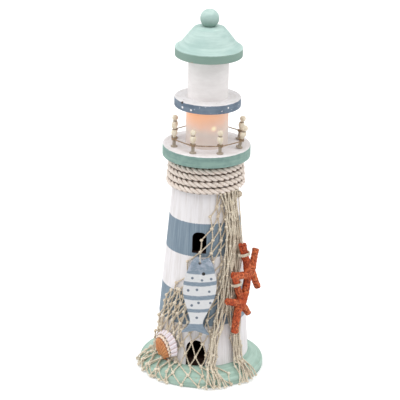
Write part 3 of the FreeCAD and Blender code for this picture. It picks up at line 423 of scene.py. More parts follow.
def even_steps(points, step):
    """The same line as points about one step apart."""
    found = [points[0]]
    left = step
    for start, end in zip(points, points[1:]):
        length = (end - start).length
        gone = left
        while gone <= length:
            found.append(start.lerp(end, gone / length))
            gone += step
        left = gone - length
    return found


def select_only(pieces):
    """Selects these pieces and no others, and makes the first of them the active one."""
    bpy.ops.object.select_all(action="DESELECT")
    for piece in pieces:
        piece.select_set(True)
    bpy.context.view_layer.objects.active = pieces[0]


def round_bar(name, radius, sides):
    """A curve with no points yet, which makes round bars with closed ends."""
    curve = bpy.data.curves.new(name, "CURVE")
    curve.dimensions = "3D"
    curve.bevel_depth = radius
    curve.bevel_resolution = sides
    curve.use_fill_caps = True
    return curve


def laid_up(name, lines, radius, lay, plies=2, sides=0):
    """Cord of twisted plies along each line, as one mesh. The plies wind like a right-hand screw."""
    ply_radius = radius * ply_shares[plies]
    curve = round_bar(name, ply_radius, sides)
    steps_per_turn = 5 if sides == 0 else 10
    for line in lines:
        spots = even_steps(line, lay / steps_per_turn)
        if len(spots) < 3:
            continue
        for ply in range(plies):
            spline = curve.splines.new("POLY")
            spline.points.add(len(spots) - 1)
            for index, spot in enumerate(spots):
                along = (spots[min(index + 1, len(spots) - 1)] - spots[max(index - 1, 0)]).normalized()
                out = Vector((spot.x, spot.y, 0.01))
                out = (out - along * out.dot(along)).normalized()
                turn = math.tau * (index / steps_per_turn + ply / plies)
                offset = out * math.cos(turn) + along.cross(out) * math.sin(turn)
                spline.points[index].co = (*(spot + offset * (radius - ply_radius)), 1)
    made = new_object(name, curve)
    select_only([made])
    bpy.ops.object.convert(target="MESH")
    bpy.ops.object.shade_smooth()
    return made


def winding(middle, along, first, reach, rise, count, per_turn):
    """Points of a cord wound round a stem. It starts on the side called first and climbs along the stem."""
    second = along.cross(first)
    line = []
    for index in range(count):
        turn = math.tau * index / per_turn
        climb = (index / (count - 1) - 0.5) * rise
        line.append(middle + along * climb + (first * math.cos(turn) + second * math.sin(turn)) * reach)
    return line


def twine_finish(name, light, deep, dirt_and_shade, depth_shade=0.0):
    """Spun fibre: fuzzy, with darker streaks and dirty patches, and painted shade where it lies deep near the
    tower's wall.
    """
    shader = Shader(name)
    place = shader.place()
    fuzz = shader.noise(place, 2600.0, 3.0, 0.7)
    patches = shader.noise(place, 130.0, 3.0)
    shade = shader.mix(shader.ease(fuzz, 0.34, 0.64), deep, light)
    shade = shader.mix(shader.ease(patches, 0.45, 0.75) * 0.4, shade, dirt_and_shade)
    radius, z, _ = lathe_place(shader)
    # Painted shade: twine deep in the net, near the tower's wall, is darker.
    near_wall_shade = 1.0 - shader.ease(radius - tower_radius(z), 1.6 * MM, 4.4 * MM)
    shade = shader.mix(near_wall_shade * depth_shade, shade, dirt_and_shade)
    shader.surface(Base_Color=shade, Roughness=0.9, Specular_IOR_Level=0.15,
                   Normal=shader.bump(fuzz, 0.1 * MM, 0.8))
    return shader


def post_frame(number):
    """Foot, outer side and stem of a post. The two loose ones lean out over the edge of their own feet."""
    lean = math.radians(post_leans.get(number, 0.0))
    azimuth = post_first + number * 360.0 / post_count
    out = around(azimuth, 1.0, 0.0)
    facing = out * math.cos(lean) - Vector((0, 0, math.sin(lean)))
    stem = Vector((0, 0, math.cos(lean))) + out * math.sin(lean)
    edge = out * (post_ring + post_foot_radius) + Vector((0, 0, deck_top))
    return edge - facing * post_foot_radius, facing, stem


cord_runs = []
hitch_reach = post_stem + cord_radius
posts = [post_frame(number) for number in range(post_count)]
outer_points = [foot + stem * cord_on_post + facing * hitch_reach for foot, facing, stem in posts]
for start, end in zip(outer_points, outer_points[1:] + outer_points[:1]):
    cord_runs.append(interpolate_bezier(start, start.lerp(end, 0.3) + cord_sag,
                                        start.lerp(end, 0.7) + cord_sag, end, bow_steps))
for foot, facing, stem in posts:
    cord_runs.append(winding(foot + stem * cord_on_post, stem, facing, hitch_reach, hitch_rise,
                             hitch_turns * hitch_steps + 1, hitch_steps))
railing = laid_up("railing_line", cord_runs, cord_radius, cord_lay)
railing.data.materials.append(twine_finish("brown_cord", colour(196, 170, 140), colour(128, 104, 82),
                                           colour(86, 68, 52)).material)
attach(railing, "lighthouse")
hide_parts("railing_cord", "railing_hitches")


# ---------------------------------------------------------------- lantern
# The lantern is a milky plastic tube over a warm lamp on a short stalk. The lamp's light on the tube is
# painted on: the upper part is painted orange with a painted glow, most on the left, with a painted bright
# spot, and the lower part stays a pale pinkish white.
lantern_top = 237.4 * MM

# The painted highlight of the lamp's bright spot: how far round the tube and how high it is, in about
# millimetres.
painted_lamp_spot = (5.9, 222.0, 0)
tube_glow = Shader("milky_tube")
place = tube_glow.place()
_, z, angle = lathe_place(tube_glow)
clouds = tube_glow.noise(place, 70.0, 3.0)
rise = tube_glow.ease(z + (clouds - 0.5) * (9 * MM), deck_top + 11 * MM, lantern_top - 3 * MM)
side_share = 1.0 - tube_glow.ease(angle, -0.2, 1.3) * 0.45
painted_warm_light = rise * side_share
from_spot = tube_glow.distance(tube_glow.vector(angle * 18.0, z * 1000.0), painted_lamp_spot)
painted_spot_share = 1.0 - tube_glow.ease(from_spot, 0.6, 3.2)
milk = tube_glow.mix(clouds, colour(226, 208, 198), colour(240, 228, 220))
# Painted light: the lamp's warm light and bright spot are painted into the tube's colour and its glow.
shade = tube_glow.mix(painted_warm_light, milk, colour(246, 196, 158))
glow = tube_glow.mix(painted_warm_light, colour(30, 20, 14), colour(226, 134, 84))
glow = tube_glow.mix(painted_spot_share, glow, colour(255, 234, 170))
tube_glow.surface(Base_Color=shade, Roughness=0.32, Emission_Color=glow, Emission_Strength=0.42,
                  Coat_Weight=0.25, Coat_Roughness=0.2, Normal=tube_glow.bump(clouds, 0.1 * MM, 0.2))
dress("lantern_tube", tube_glow)


# ---------------------------------------------------------------- lantern ring
# The ring is a turned board like the deck, white on top with a slate blue edge. Its corner has lost
# small chips of paint, some down to the dark wood and some down to the white ground.
ring_top = 245.2 * MM
dark_wood = colour(62, 52, 50)
ring_flakes = [(-49, 0.6 * MM, 1.5 * MM, dark_wood), (-48, 4.6 * MM, 1.3 * MM, tower_white),
               (-29, 5.0 * MM, 1.1 * MM, tower_white), (38, 3.0 * MM, 0.9 * MM, tower_white)]
dress("lantern_ring", two_tone("ring_paint", ring_top, colour(120, 136, 152), colour(96, 112, 130), 0.68,
                               ring_flakes))


# ---------------------------------------------------------------- upper drum
# The drum between ring and roof is a turned block in off-white paint that has yellowed a little.
# Brown painted shade lies on it under the roof.
drum_top = 280.4 * MM
drum_cream = colour(248, 244, 243)
drum_cream_deep = colour(236, 231, 230)
# Brown for the painted shade under the roof.
roof_shade_brown = colour(150, 134, 120)


def drum_coat(shader, radius, z, shade):
    """Painted shade, brown and blotchy, under the roof."""
    blotch = shader.noise(shader.place(), 90.0, 4.0)
    # Painted shade under the roof's overhang.
    under_roof_shade = shader.ease(z + blotch * (7 * MM), drum_top - 1.5 * MM, drum_top + 4.5 * MM) * 0.5
    return shader.mix(under_roof_shade, shade, roof_shade_brown)


dress("upper_drum", turned_paint("drum_cream_paint", drum_cream, drum_cream_deep, 120.0, 40.0, drum_coat))


# ---------------------------------------------------------------- roof
# The roof is turned from one block: an upright rim, a shoulder and a bell. It is painted pale mint while
# it turns, so the brush leaves faint rings, and the rim is sage green.
roof_rim_top = 287.2 * MM
ball_middle = 312.1 * MM
roof_mint = colour(198, 220, 214)
roof_mint_deep = colour(172, 200, 194)
sage = colour(122, 150, 138)


def roof_coat(shader, radius, z, shade):
    """Sage paint on the upright rim, thin along its lower edge."""
    wander = (shader.noise(shader.place(), 160.0, 3.0) - 0.5) * (1.0 * MM)
    rim = 1.0 - shader.ease(z + wander, roof_rim_top - 0.3 * MM, roof_rim_top + 0.5 * MM)
    patches = shader.ease(shader.noise(shader.place(), 240.0, 4.0, 0.7), 0.56, 0.68)
    thin = patches * (1.0 - shader.ease(z, drum_top + 0.3 * MM, drum_top + 2.0 * MM)) * 0.6
    shade = shader.mix(rim * 0.85, shade, sage)
    return shader.mix(thin, shade, bare_edge)


def ball_coat(shader, radius, z, shade):
    """Painted shade: the bead's lower half is painted the deeper sage."""
    return shader.mix((1.0 - shader.ease(z, ball_middle - 6 * MM, ball_middle + 5 * MM)) * 0.8, shade, sage)


dress("roof_cap", turned_paint("roof_mint_paint", roof_mint, roof_mint_deep, 260.0, 50.0, roof_coat))
dress("finial_ball", turned_paint("ball_mint_paint", roof_mint, roof_mint_deep, 300.0, 90.0, ball_coat))


# ---------------------------------------------------------------- rope under the deck
# Three-strand jute rope, about 6 mm thick, is wound four times round the tower under the deck and glued.
# Each turn lies level, and the rope steps down to the next one at the back.
rope_radius = 3.0 * MM
rope_lay = 15.9 * MM
rope_turns = 4
rope_step = 5.6 * MM
rope_below_deck = 2.3 * MM
rope_first = tower_top - rope_below_deck - rope_radius
rope_low = rope_first - rope_step * (rope_turns - 1) - rope_radius
step_azimuth = 24.0
end_azimuth = 12
glue_gap = 0.1 * MM

rope_line = []
for degree in range(0, 360 * rope_turns - end_azimuth, 3):
    turns_done, azimuth = divmod(degree, 360)
    crossing = min(1.0, max(0.0, (azimuth - 360 + step_azimuth) / step_azimuth))
    crossing = crossing * crossing * (3 - 2 * crossing) if turns_done < rope_turns - 1 else 0.0
    z = rope_first - (turns_done + crossing) * rope_step
    rope_line.append(around(azimuth - 180, tower_radius(z) + glue_gap + rope_radius, z))
rope = laid_up("rope_wrap_strands", [rope_line], rope_radius, rope_lay, 3, 2)

jute = Shader("jute_rope")
place = jute.place()
lengthwise = jute.place("UV")
strand = jute.vector(jute.axis(lengthwise, 0) * 60.0, jute.axis(lengthwise, 1) * 26.0)
fibre = jute.noise(strand, 1.0, 4.0, 0.7)
fuzz = jute.noise(place, 1700.0, 3.0, 0.7)
tone = jute.ease(fibre * 0.5 + fuzz * 0.5, 0.36, 0.64)
radius, z, _ = lathe_place(jute)
groove_shade = 1.0 - jute.ease(radius - tower_radius(z), 3.4 * MM, 5.3 * MM)
shade = jute.mix(tone, colour(228, 212, 198), colour(252, 243, 236))
shade = jute.mix(jute.ease(jute.noise(place, 110.0, 3.0), 0.5, 0.8) * 0.3, shade, colour(196, 170, 144))
# Painted shade: the grooves between turns and strands are dark brown.
shade = jute.mix(groove_shade * 0.85, shade, colour(96, 68, 48))
jute.surface(Base_Color=shade, Roughness=0.92, Specular_IOR_Level=0.12,
             Normal=jute.bump(fibre * 0.6 + fuzz * 0.4, 0.25 * MM, 0.9))
rope.data.materials.append(jute.material)
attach(rope, "lighthouse")
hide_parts("rope_wrap")


# ---------------------------------------------------------------- fishing net
# One piece of cream fishing net, knotted from two-ply twine. It is gathered under the rope on the right and
# hangs there as a thick hank that parts in two. Over the front and the left it is pulled open to the foot.
twine_radius = 0.74 * MM
twine_lay = 4.0 * MM
knot_radius = 1.4 * MM
hank_knot_radius = 0.75 * knot_radius
net_top = rope_low - 0.2 * MM

# What the net lies on, as radius and height: down the tower's wall, over the foot and down its rim.
surface_line = [(tower_radius(net_top), net_top), (tower_foot_radius + 0.4 * MM, foot_top + 0.4 * MM),
                (51.8 * MM, 8.4 * MM), (foot_rim, 5.2 * MM), (foot_rim, 2.2 * MM)]
surface_lengths = [math.hypot(r1 - r0, z1 - z0)
                   for (r0, z0), (r1, z1) in zip(surface_line, surface_line[1:])]
tower_run = surface_lengths[0]
whole_run = sum(surface_lengths)


def between_stops(value, stops):
    """Value read off a list of (place, value) in falling order of place, straight between them."""
    for (place_a, value_a), (place_b, value_b) in zip(stops, stops[1:]):
        if value >= place_b:
            share = min(1.0, max(0.0, (place_a - value) / (place_a - place_b)))
            return value_a + (value_b - value_a) * share
    return stops[-1][1]


def on_surface(azimuth, drop, lift):
    """Point a drop below the rope, measured down the tower and over the foot, and lifted off the surface."""
    left = max(0.0, drop)
    for (r0, z0), (r1, z1), length in zip(surface_line, surface_line[1:], surface_lengths):
        if left <= length or (r1, z1) == surface_line[-1]:
            share = min(1.0, left / length)
            radius = r0 + (r1 - r0) * share + (z0 - z1) / length * lift
            return around(azimuth, radius, z0 + (z1 - z0) * share + (r1 - r0) / length * lift)
        left -= length


def net_knots(columns, rows, left, right, lift, jitter, stagger, seed, first_row=0,
              crowd=((1.0, 1.0), (0.0, 1.0))):
    """Knots of a diamond net between two edges. Every other row is set over by half a mesh.

    Where the crowd is over 1, the meshes lie open at the left edge and close together at the right edge.
    """
    rough = random.Random(seed)
    knots = {}
    for row in range(first_row, rows + 1):
        share_down = row / rows
        for column in range(columns + (row + 1) % 2):
            across = (column + 0.5 * (row % 2)) / columns
            height = 1 - share_down * whole_run / tower_run
            across = 1 - (1 - across) ** between_stops(height, crowd)
            azimuth = between_stops(height, left) * (1 - across) + between_stops(height, right) * across
            drop = share_down * between_stops(azimuth, hem_drop)
            spread = jitter if 0 < row else 0.3
            azimuth += rough.uniform(-1.6, 1.6) * spread
            drop += rough.uniform(-1.0, 1.0) * stagger * MM if 0 < row < rows - 1 else 0.0
            knots[row, column] = (azimuth, drop, lift + rough.uniform(0.0, 1.0) * spread * 0.6 * MM)
    return knots


def net_sides(knots, slack, seed):
    """Lengths of twine from each knot to the two below it, each hanging a little slack."""
    rough = random.Random(seed)
    lines = []
    for (row, column), start in knots.items():
        shift = 1 if row % 2 else 0
        for below in (column - 1 + shift, column + shift):
            end = knots.get((row + 1, below))
            if end is None:
                continue
            bow = rough.uniform(-slack, slack) * (2.2 if start[1] > tower_run * 0.98 else 1.0)
            route = []
            for share in (0.0, 0.34, 0.67, 1.0):
                full = math.sin(share * math.pi)
                azimuth = start[0] + (end[0] - start[0]) * share + bow * full
                drop = start[1] + (end[1] - start[1]) * share + abs(bow) * 0.5 * full * MM
                route.append(on_surface(azimuth, drop, start[2] + (end[2] - start[2]) * share))
            lines.append(interpolate_bezier(*route, bow_steps))
    return lines


def net_piece(name, sheets, lump_radius):
    """Twine and knots of several sheets of net, joined as one mesh."""
    lines = []
    places = []
    for knots, slack, seed in sheets:
        lines += net_sides(knots, slack, seed)
        places += [on_surface(*knot) for knot in knots.values()]
    made = laid_up(name, lines, twine_radius, twine_lay)
    bpy.ops.mesh.primitive_uv_sphere_add(segments=8, ring_count=6, radius=lump_radius)
    lump = bpy.context.object
    rough = random.Random(len(places))
    lumps = []
    for spot in places:
        copy = lump.copy()
        copy.data = lump.data.copy()
        bpy.context.scene.collection.objects.link(copy)
        squash = Vector((rough.uniform(0.9, 1.25), rough.uniform(0.8, 1.0), rough.uniform(0.9, 1.3)))
        turn = Matrix.Rotation(rough.uniform(0, math.tau), 4, "Y")
        copy.data.transform(Matrix.Translation(spot) @ turn @ Matrix.Diagonal(squash).to_4x4())
        lumps.append(copy)
    bpy.data.objects.remove(lump)
    select_only([made] + lumps)
    bpy.ops.object.join()
    bpy.ops.object.shade_smooth()
    return made


# An edge of the net is a list of heights and azimuths. The height is 1 at the rope, 0 at the tower's foot and
# less on the foot's top and rim. The hem's list gives an azimuth and how far below the rope the net ends.
spread_left = [(1.0, 21), (0.91, 11), (0.84, 6), (0.755, -2), (0.665, -16), (0.52, -32), (0.46, -41),
               (0.335, -59), (0.23, -69), (0.145, -77), (0.0, -86), (-0.2, -90)]
spread_right = [(1.0, 58), (0.8, 62), (0.6, 58), (0.45, 44), (0.3, 24), (0.1, 16), (0.0, 20), (-0.1, 36),
                (-0.2, 42)]
spread_crowd = [(1.0, 2.0), (0.78, 2.3), (0.6, 2.0), (0.45, 1.5), (0.3, 1.0), (-0.2, 1.0)]
fold_left = [(1.0, 21), (0.4, -52), (0.2, -71), (0.0, -84), (-0.2, -90)]
fold_right = [(1.0, 30), (0.4, -14), (0.2, -22), (0.0, -30), (-0.2, -30)]
hem_drop = [(60, 170 * MM), (44, 173 * MM), (20, 174.5 * MM), (-20, 174.5 * MM), (-45, 176.5 * MM),
            (-70, 177 * MM), (-90, 172 * MM)]
twine_light = colour(252, 244, 228)
twine_deep = colour(212, 196, 170)
# The spread net's twine gets a little painted shade near the tower's wall.
net_cream = twine_finish("cream_twine", twine_light, twine_deep, colour(176, 148, 114), 0.25)

spread_net = net_piece("net_spread", [
    (net_knots(8, 17, spread_left, spread_right, lift=0.75 * MM, jitter=1.0, stagger=1.8, seed=3,
               crowd=spread_crowd), 1.5, 4),
    (net_knots(5, 18, fold_left, fold_right, lift=1.9 * MM, jitter=1.6, stagger=2.4, seed=13,
               first_row=9), 2.0, 14),
], knot_radius)
spread_net.data.materials.append(net_cream.material)
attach(spread_net, "lighthouse")
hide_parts("net_drape", "net_hem")

left_hank = ([(1.0, 24), (0.9, 32), (0.8, 33), (0.6, 28), (0.42, 20), (0.2, 12), (0.0, 6), (-0.2, 2)],
             [(1.0, 44), (0.9, 44), (0.8, 47), (0.55, 42), (0.36, 35), (0.2, 22), (0.0, 16), (-0.2, 26)])
right_hank = ([(1.0, 38), (0.9, 40), (0.8, 44), (0.55, 38), (0.36, 31), (0.2, 36), (0.0, 41), (-0.2, 34)],
              [(1.0, 58), (0.9, 52), (0.78, 60), (0.68, 64), (0.6, 56), (0.3, 50), (0.0, 52), (-0.2, 56)])
hank_sheets = []
for columns, rows, edges, lift, stagger, slack, seed in (
        (3, 14, left_hank, 2.4 * MM, 4.5, 1.4, 5), (4, 13, right_hank, 2.4 * MM, 4.5, 1.4, 7),
        (3, 12, left_hank, 4.0 * MM, 5.5, 1.8, 9), (3, 12, right_hank, 4.0 * MM, 5.5, 1.8, 11)):
    knots = net_knots(columns, rows, *edges, lift=lift, jitter=1.0, stagger=stagger, seed=seed)
    hank_sheets.append((knots, slack, seed + 1))
gathered_net = net_piece("net_gathered", hank_sheets, hank_knot_radius)
# The hank's twine gets strong painted shade in its depth, near the tower's wall.
hank_cream = twine_finish("hank_twine", twine_light, twine_deep, colour(128, 98, 68), 0.9)
gathered_net.data.materials.append(hank_cream.material)
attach(gathered_net, "lighthouse")
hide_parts("net_bundle")


# ---------------------------------------------------------------- knot under the rope
# The cord that gathers the net is tied in a fat knot just under the rope, on the right. It is the net's own
# twine, wound five times over itself.
tie_low, tie_high = (Vector(corner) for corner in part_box("net_knot"))
tie_centre = (tie_low + tie_high) / 2
tie_size = (tie_high.z - tie_low.z) / 2 - twine_radius
tie_steps = 30
tie_turns = ((10, 0.95), (55, 1.0), (-40, 0.9), (80, 0.8), (-70, 0.65))
tie_lines = []
for tilt, share in tie_turns:
    level = Matrix.Rotation(math.radians(tilt), 3, tie_centre.xy.to_3d().normalized())
    loop = []
    for index in range(tie_steps + 1):
        turn = math.tau * index / tie_steps
        flat = Vector((math.cos(turn), math.sin(turn), 0)) * tie_size * share
        loop.append(tie_centre + level @ flat)
    tie_lines.append(loop)
net_tie = laid_up("net_tie", tie_lines, twine_radius, twine_lay)
net_tie.data.materials.append(net_cream.material)
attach(net_tie, "lighthouse")
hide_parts("net_knot")


# ---------------------------------------------------------------- fish
# The fish is sawn from 5 mm board with softly sanded edges, white with a blue-grey head, three bands and a
# tail, and dots put on with the tip of a brush. It hangs head up from a loop through its mouth.
fish_length = 67.2 * MM
fish_half_width = 14.1 * MM
fish_thickness = 5.0 * MM
fish_azimuth = -3.5
fish_lift = 3.3 * MM
fish_lean = math.radians(3.7)
fish_mouth = (1.2 * MM, 110.2 * MM)
fish_hole = (-1.8 * MM, 62.6 * MM)
fish_hole_radius = 1.3 * MM
fish_edge_round = 1.5 * MM
tail_notch = 0.035
mouth_notch = 0.96

# The right edge from the mouth down to the tail, as shares of the half width and of the length.
fish_sides = [(0.35, 1.0), (0.62, 0.93), (0.80, 0.83), (0.95, 0.72), (1.0, 0.60), (0.94, 0.49), (0.79, 0.40),
              (0.60, 0.29), (0.40, 0.17), (0.44, 0.10), (0.62, 0.04), (0.84, -0.008)]


def slope_frame(azimuth, lift):
    """Frame on the tower's slope at height 0: X runs round it, Y up the slope, Z out of it."""
    slope = math.atan(tower_taper)
    level = around(azimuth, 1.0, 0.0)
    facing = level * math.cos(slope) + Vector((0, 0, math.sin(slope)))
    across = Vector((-level.y, level.x, 0))
    upward = facing.cross(across)
    origin = level * tower_radius(0) + facing * lift
    turned = Matrix((across, upward, facing)).transposed().to_4x4()
    turned.translation = origin
    return turned


fish_place = (slope_frame(fish_azimuth, fish_lift)
              @ Matrix.Translation((fish_mouth[0] + fish_hole[0], fish_mouth[1], 0))
              @ Matrix.Rotation(-fish_lean, 4, "Z") @ Matrix.Translation((-fish_hole[0], -fish_hole[1], 0)))


def edge_line(stops, steps):
    """Smooth line through a list of points, as points."""
    found = []
    for index in range(len(stops) - 1):
        before = stops[max(index - 1, 0)]
        start, end = stops[index], stops[index + 1]
        after = stops[min(index + 2, len(stops) - 1)]
        first = start + (end - before) / 6
        second = end - (after - start) / 6
        found += interpolate_bezier(start.to_3d(), first.to_3d(), second.to_3d(), end.to_3d(), steps)[:-1]
    return found + [stops[-1].to_3d()]


right_side = edge_line([Vector((x * fish_half_width, y * fish_length)) for x, y in fish_sides], 5)
fish_edge = (right_side + [Vector((0, tail_notch * fish_length, 0))]
             + [Vector((-spot.x, spot.y, 0)) for spot in reversed(right_side)]
             + [Vector((0, mouth_notch * fish_length, 0))])
bpy.ops.object.select_all(action="DESELECT")
bpy.ops.mesh.primitive_circle_add(vertices=len(fish_edge), radius=fish_half_width, fill_type="NGON")
fish = bpy.context.object
fish.name = "fish_board"
for vertex, spot in zip(fish.data.vertices, fish_edge):
    vertex.co = spot
bpy.ops.object.mode_set(mode="EDIT")
bpy.ops.mesh.select_all(action="SELECT")
bpy.ops.mesh.extrude_region_move(TRANSFORM_OT_translate={"value": (0, 0, fish_thickness)})
bpy.ops.mesh.select_all(action="SELECT")
bpy.ops.mesh.normals_make_consistent(inside=False)
bpy.ops.object.mode_set(mode="OBJECT")


def finished(piece, *modifiers):
    """Applies modifiers, each a kind and its settings, in order, and smooths the faces that meet gently."""
    select_only([piece])
    for kind, settings in modifiers:
        modifier = piece.modifiers.new(kind.lower(), kind)
        for key, value in settings.items():
            setattr(modifier, key, value)
        bpy.ops.object.modifier_apply(modifier=modifier.name)
    bpy.ops.object.shade_smooth_by_angle(angle=math.radians(40))


bpy.ops.mesh.primitive_cylinder_add(vertices=32, radius=fish_hole_radius, depth=4 * fish_thickness,
                                    location=(fish_hole[0], fish_hole[1], 0))
drill = bpy.context.object
finished(fish, ("BOOLEAN", {"object": drill, "operation": "DIFFERENCE"}),
         ("BEVEL", {"width": fish_edge_round, "segments": 4, "limit_method": "ANGLE",
                    "angle_limit": math.radians(50), "use_clamp_overlap": True}))
bpy.data.objects.remove(drill)


def flat_map(piece, scale, shift=0.0):
    """UV map that holds each point's own X and Y, before the piece is put in its place."""
    layer = piece.data.uv_layers.new(name="UVMap") if not piece.data.uv_layers else piece.data.uv_layers[0]
    for loop in piece.data.loops:
        spot = piece.data.vertices[loop.vertex_index].co
        layer.data[loop.index].uv = (spot.x / scale + shift, spot.y / scale + shift)


flat_map(fish, 100 * MM)
fish.data.transform(fish_place)

# The paint's bands and dots are in millimetres from the tail and from the middle. The first band is the head
# and the last the tail, and all of them tilt and sag a little towards the edges.
fish_bands = ((52.8, 90.0), (42.2, 45.8), (29.8, 33.6), (18.8, 21.8), (-5.0, 8.5))
band_tilt = 0.11
band_sag = 0.009
fish_dots = ((-6.9, 48.9), (1.3, 47.9), (8.9, 49.9), (-9.5, 37.7), (-2.1, 39.0), (8.3, 38.6), (0.3, 27.6),
             (10.2, 28.7), (-5.2, 24.7), (0.0, 14.2))

fish_paint = Shader("fish_paint")
place = fish_paint.place()
flat = fish_paint.place("UV")
across = fish_paint.axis(flat, 0) * 100.0
upward = fish_paint.axis(flat, 1) * 100.0
wobble = (fish_paint.noise(place, 260.0, 3.0) - 0.5) * 1.6
edge = upward + wobble * 0.6 - across * band_tilt - across * across * band_sag
brush = fish_paint.noise(fish_paint.vector(across * 0.25, upward * 1.6), 1.0, 4.0, 0.65)
blue = sum(fish_paint.stripe(edge, low, high, 0.3) for low, high in fish_bands)
here = fish_paint.vector(across, upward)
dots = sum(1.0 - fish_paint.ease(fish_paint.distance(here, (x, y, 0)) + wobble * 0.4, 0.9, 1.35)
           for x, y in fish_dots)
fish_white = fish_paint.mix(brush, colour(206, 208, 212), colour(238, 238, 238))
fish_blue = fish_paint.mix(fish_paint.ease(brush, 0.3, 0.7), colour(116, 134, 150), colour(146, 160, 174))
head = fish_paint.ease(upward, 50.0, 53.0) * fish_paint.ease(fish_paint.noise(place, 160.0, 4.0), 0.42, 0.62)
fish_blue = fish_paint.mix(head * 0.7, fish_blue, colour(186, 192, 206))
shade = fish_paint.mix(blue, fish_white, fish_blue)
shade = fish_paint.mix(dots, shade, colour(106, 118, 134))
fish_paint.surface(Base_Color=shade, Roughness=0.42 + brush * 0.2,
                   Normal=fish_paint.bump(brush + dots * 0.6, 0.14 * MM, 0.5))
fish.data.materials.append(fish_paint.material)
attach(fish, "fish")
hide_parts("fish_body")

black_pin = Shader("black_pin")
lacquer = black_pin.noise(black_pin.place(), 500.0, 3.0)
black_pin.surface(Base_Color=black_pin.mix(lacquer, colour(16, 15, 15), colour(34, 32, 32)),
                  Roughness=0.22 + lacquer * 0.1)
dress("fish_eye", black_pin)

fish_tie_radius = 0.5 * MM
fish_tie_lay = 3.0 * MM
loop_half = fish_thickness / 2 + fish_tie_radius + 0.3 * MM
loop_middle = fish_thickness / 2
loop_top = 6.3 * MM
loop_waist = 0.25
loop_sway = 0.25 * MM
hang = (slope_frame(fish_azimuth, fish_lift)
        @ Matrix.Translation((fish_mouth[0] + fish_hole[0], fish_mouth[1], loop_middle)))
loop_line = []
for degree in range(0, 372, 12):
    turn = math.radians(degree)
    reach = loop_half * (1 - loop_waist * math.sin(turn) ** 2)
    loop_line.append(hang @ Vector((loop_sway * math.sin(2 * turn), loop_top / 2 * (1 - math.cos(turn)),
                                    reach * math.sin(turn))))
fish_tie = laid_up("fish_tie", [loop_line], fish_tie_radius, fish_tie_lay)
fish_tie.data.materials.append(net_cream.material)
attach(fish_tie, "lighthouse")
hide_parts("fish_loop")


# ---------------------------------------------------------------- coral
# A branch of red coral, cast in one piece, with a granular skin and sawn ends. It leans on the hank of net
# and is bound to it at two places.
coral_azimuth = 45.0
coral_lift = 9.1 * MM
coral_weave = 0.5
knuckle_share = 0.94

# Each limb is its points across and up the slope, and its radius at the first and at the last of them, all in
# millimetres. The first limb is the trunk.
coral_limbs = [
    ([(5.0, 122.5), (6.8, 112.0), (10.5, 102.0), (10.0, 91.0), (7.0, 80.0), (4.0, 70.5), (-3.0, 66.0),
      (-6.0, 56.0), (-6.8, 46.0)], 3.5, 3.4),
    ([(10.4, 95.0), (15.5, 96.0), (18.0, 104.0), (21.0, 114.5)], 3.2, 3.0),
    ([(15.5, 94.5), (18.8, 86.5), (22.0, 79.0)], 3.2, 2.8),
    ([(10.0, 94.0), (1.5, 94.5), (-7.5, 97.5)], 3.4, 3.0),
    ([(-5.0, 96.0), (-3.2, 86.5), (0.0, 78.0), (3.5, 71.0)], 3.0, 3.4),
    ([(3.5, 71.0), (-6.0, 72.0), (-15.5, 76.5)], 3.5, 3.0),
    ([(1.0, 69.0), (6.0, 64.5), (9.8, 58.5)], 3.4, 2.8),
]
coral_frame = slope_frame(coral_azimuth, coral_lift)


def coral_spot(x, y, out=0.0):
    """Point of the coral from its place across and up the slope, in millimetres."""
    return coral_frame @ Vector((x * MM, y * MM, out * MM))


limbs = []
for points, thick, thin in coral_limbs:
    curve = round_bar("limb", MM, 3)
    spline = curve.splines.new("NURBS")
    spline.points.add(len(points) - 1)
    for index, (x, y) in enumerate(points):
        spline.points[index].co = (*coral_spot(x, y, coral_weave * math.sin(index * 2.1)), 1)
        knuckle = knuckle_share if index % 2 else 1.0
        spline.points[index].radius = (thick + (thin - thick) * index / (len(points) - 1)) * knuckle
    spline.order_u = 3
    spline.use_endpoint_u = True
    limbs.append(new_object("limb", curve))
select_only(limbs)
bpy.ops.object.convert(target="MESH")
bpy.ops.object.join()
coral = bpy.context.object
coral.name = "coral_cast"
grit = bpy.data.textures.new("coral_grit", "CLOUDS")
grit.noise_scale = 1.1 * MM
grit.noise_depth = 2
lumps_texture = bpy.data.textures.new("coral_lumps", "CLOUDS")
lumps_texture.noise_scale = 5.0 * MM
finished(coral, ("REMESH", {"mode": "VOXEL", "voxel_size": 0.42 * MM}),
         ("SMOOTH", {"factor": 0.5, "iterations": 2}),
         ("DISPLACE", {"texture": lumps_texture, "strength": 1.2 * MM, "mid_level": 0.5}),
         ("DISPLACE", {"texture": grit, "strength": 0.9 * MM, "mid_level": 0.5}))
bpy.ops.object.shade_smooth()

coral_red = Shader("red_coral")
place = coral_red.place()
grains = coral_red.node("TexVoronoi", None, {"Vector": place, "Scale": 900.0})
speck = coral_red.noise(place, 480.0, 4.0, 0.75)
clouds = coral_red.noise(place, 90.0, 3.0)
bright = coral_red.mix(coral_red.ease(clouds, 0.4, 0.62), colour(196, 84, 44), colour(230, 128, 80))
shade = coral_red.mix(coral_red.ease(speck, 0.38, 0.58), colour(116, 38, 16), bright)
coral_red.surface(Base_Color=shade, Roughness=0.66, Specular_IOR_Level=0.35,
                  Normal=coral_red.bump(grains * 0.7 + speck * 0.3, 0.4 * MM, 0.9))
coral.data.materials.append(coral_red.material)
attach(coral, "lighthouse")
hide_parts("coral_branch")

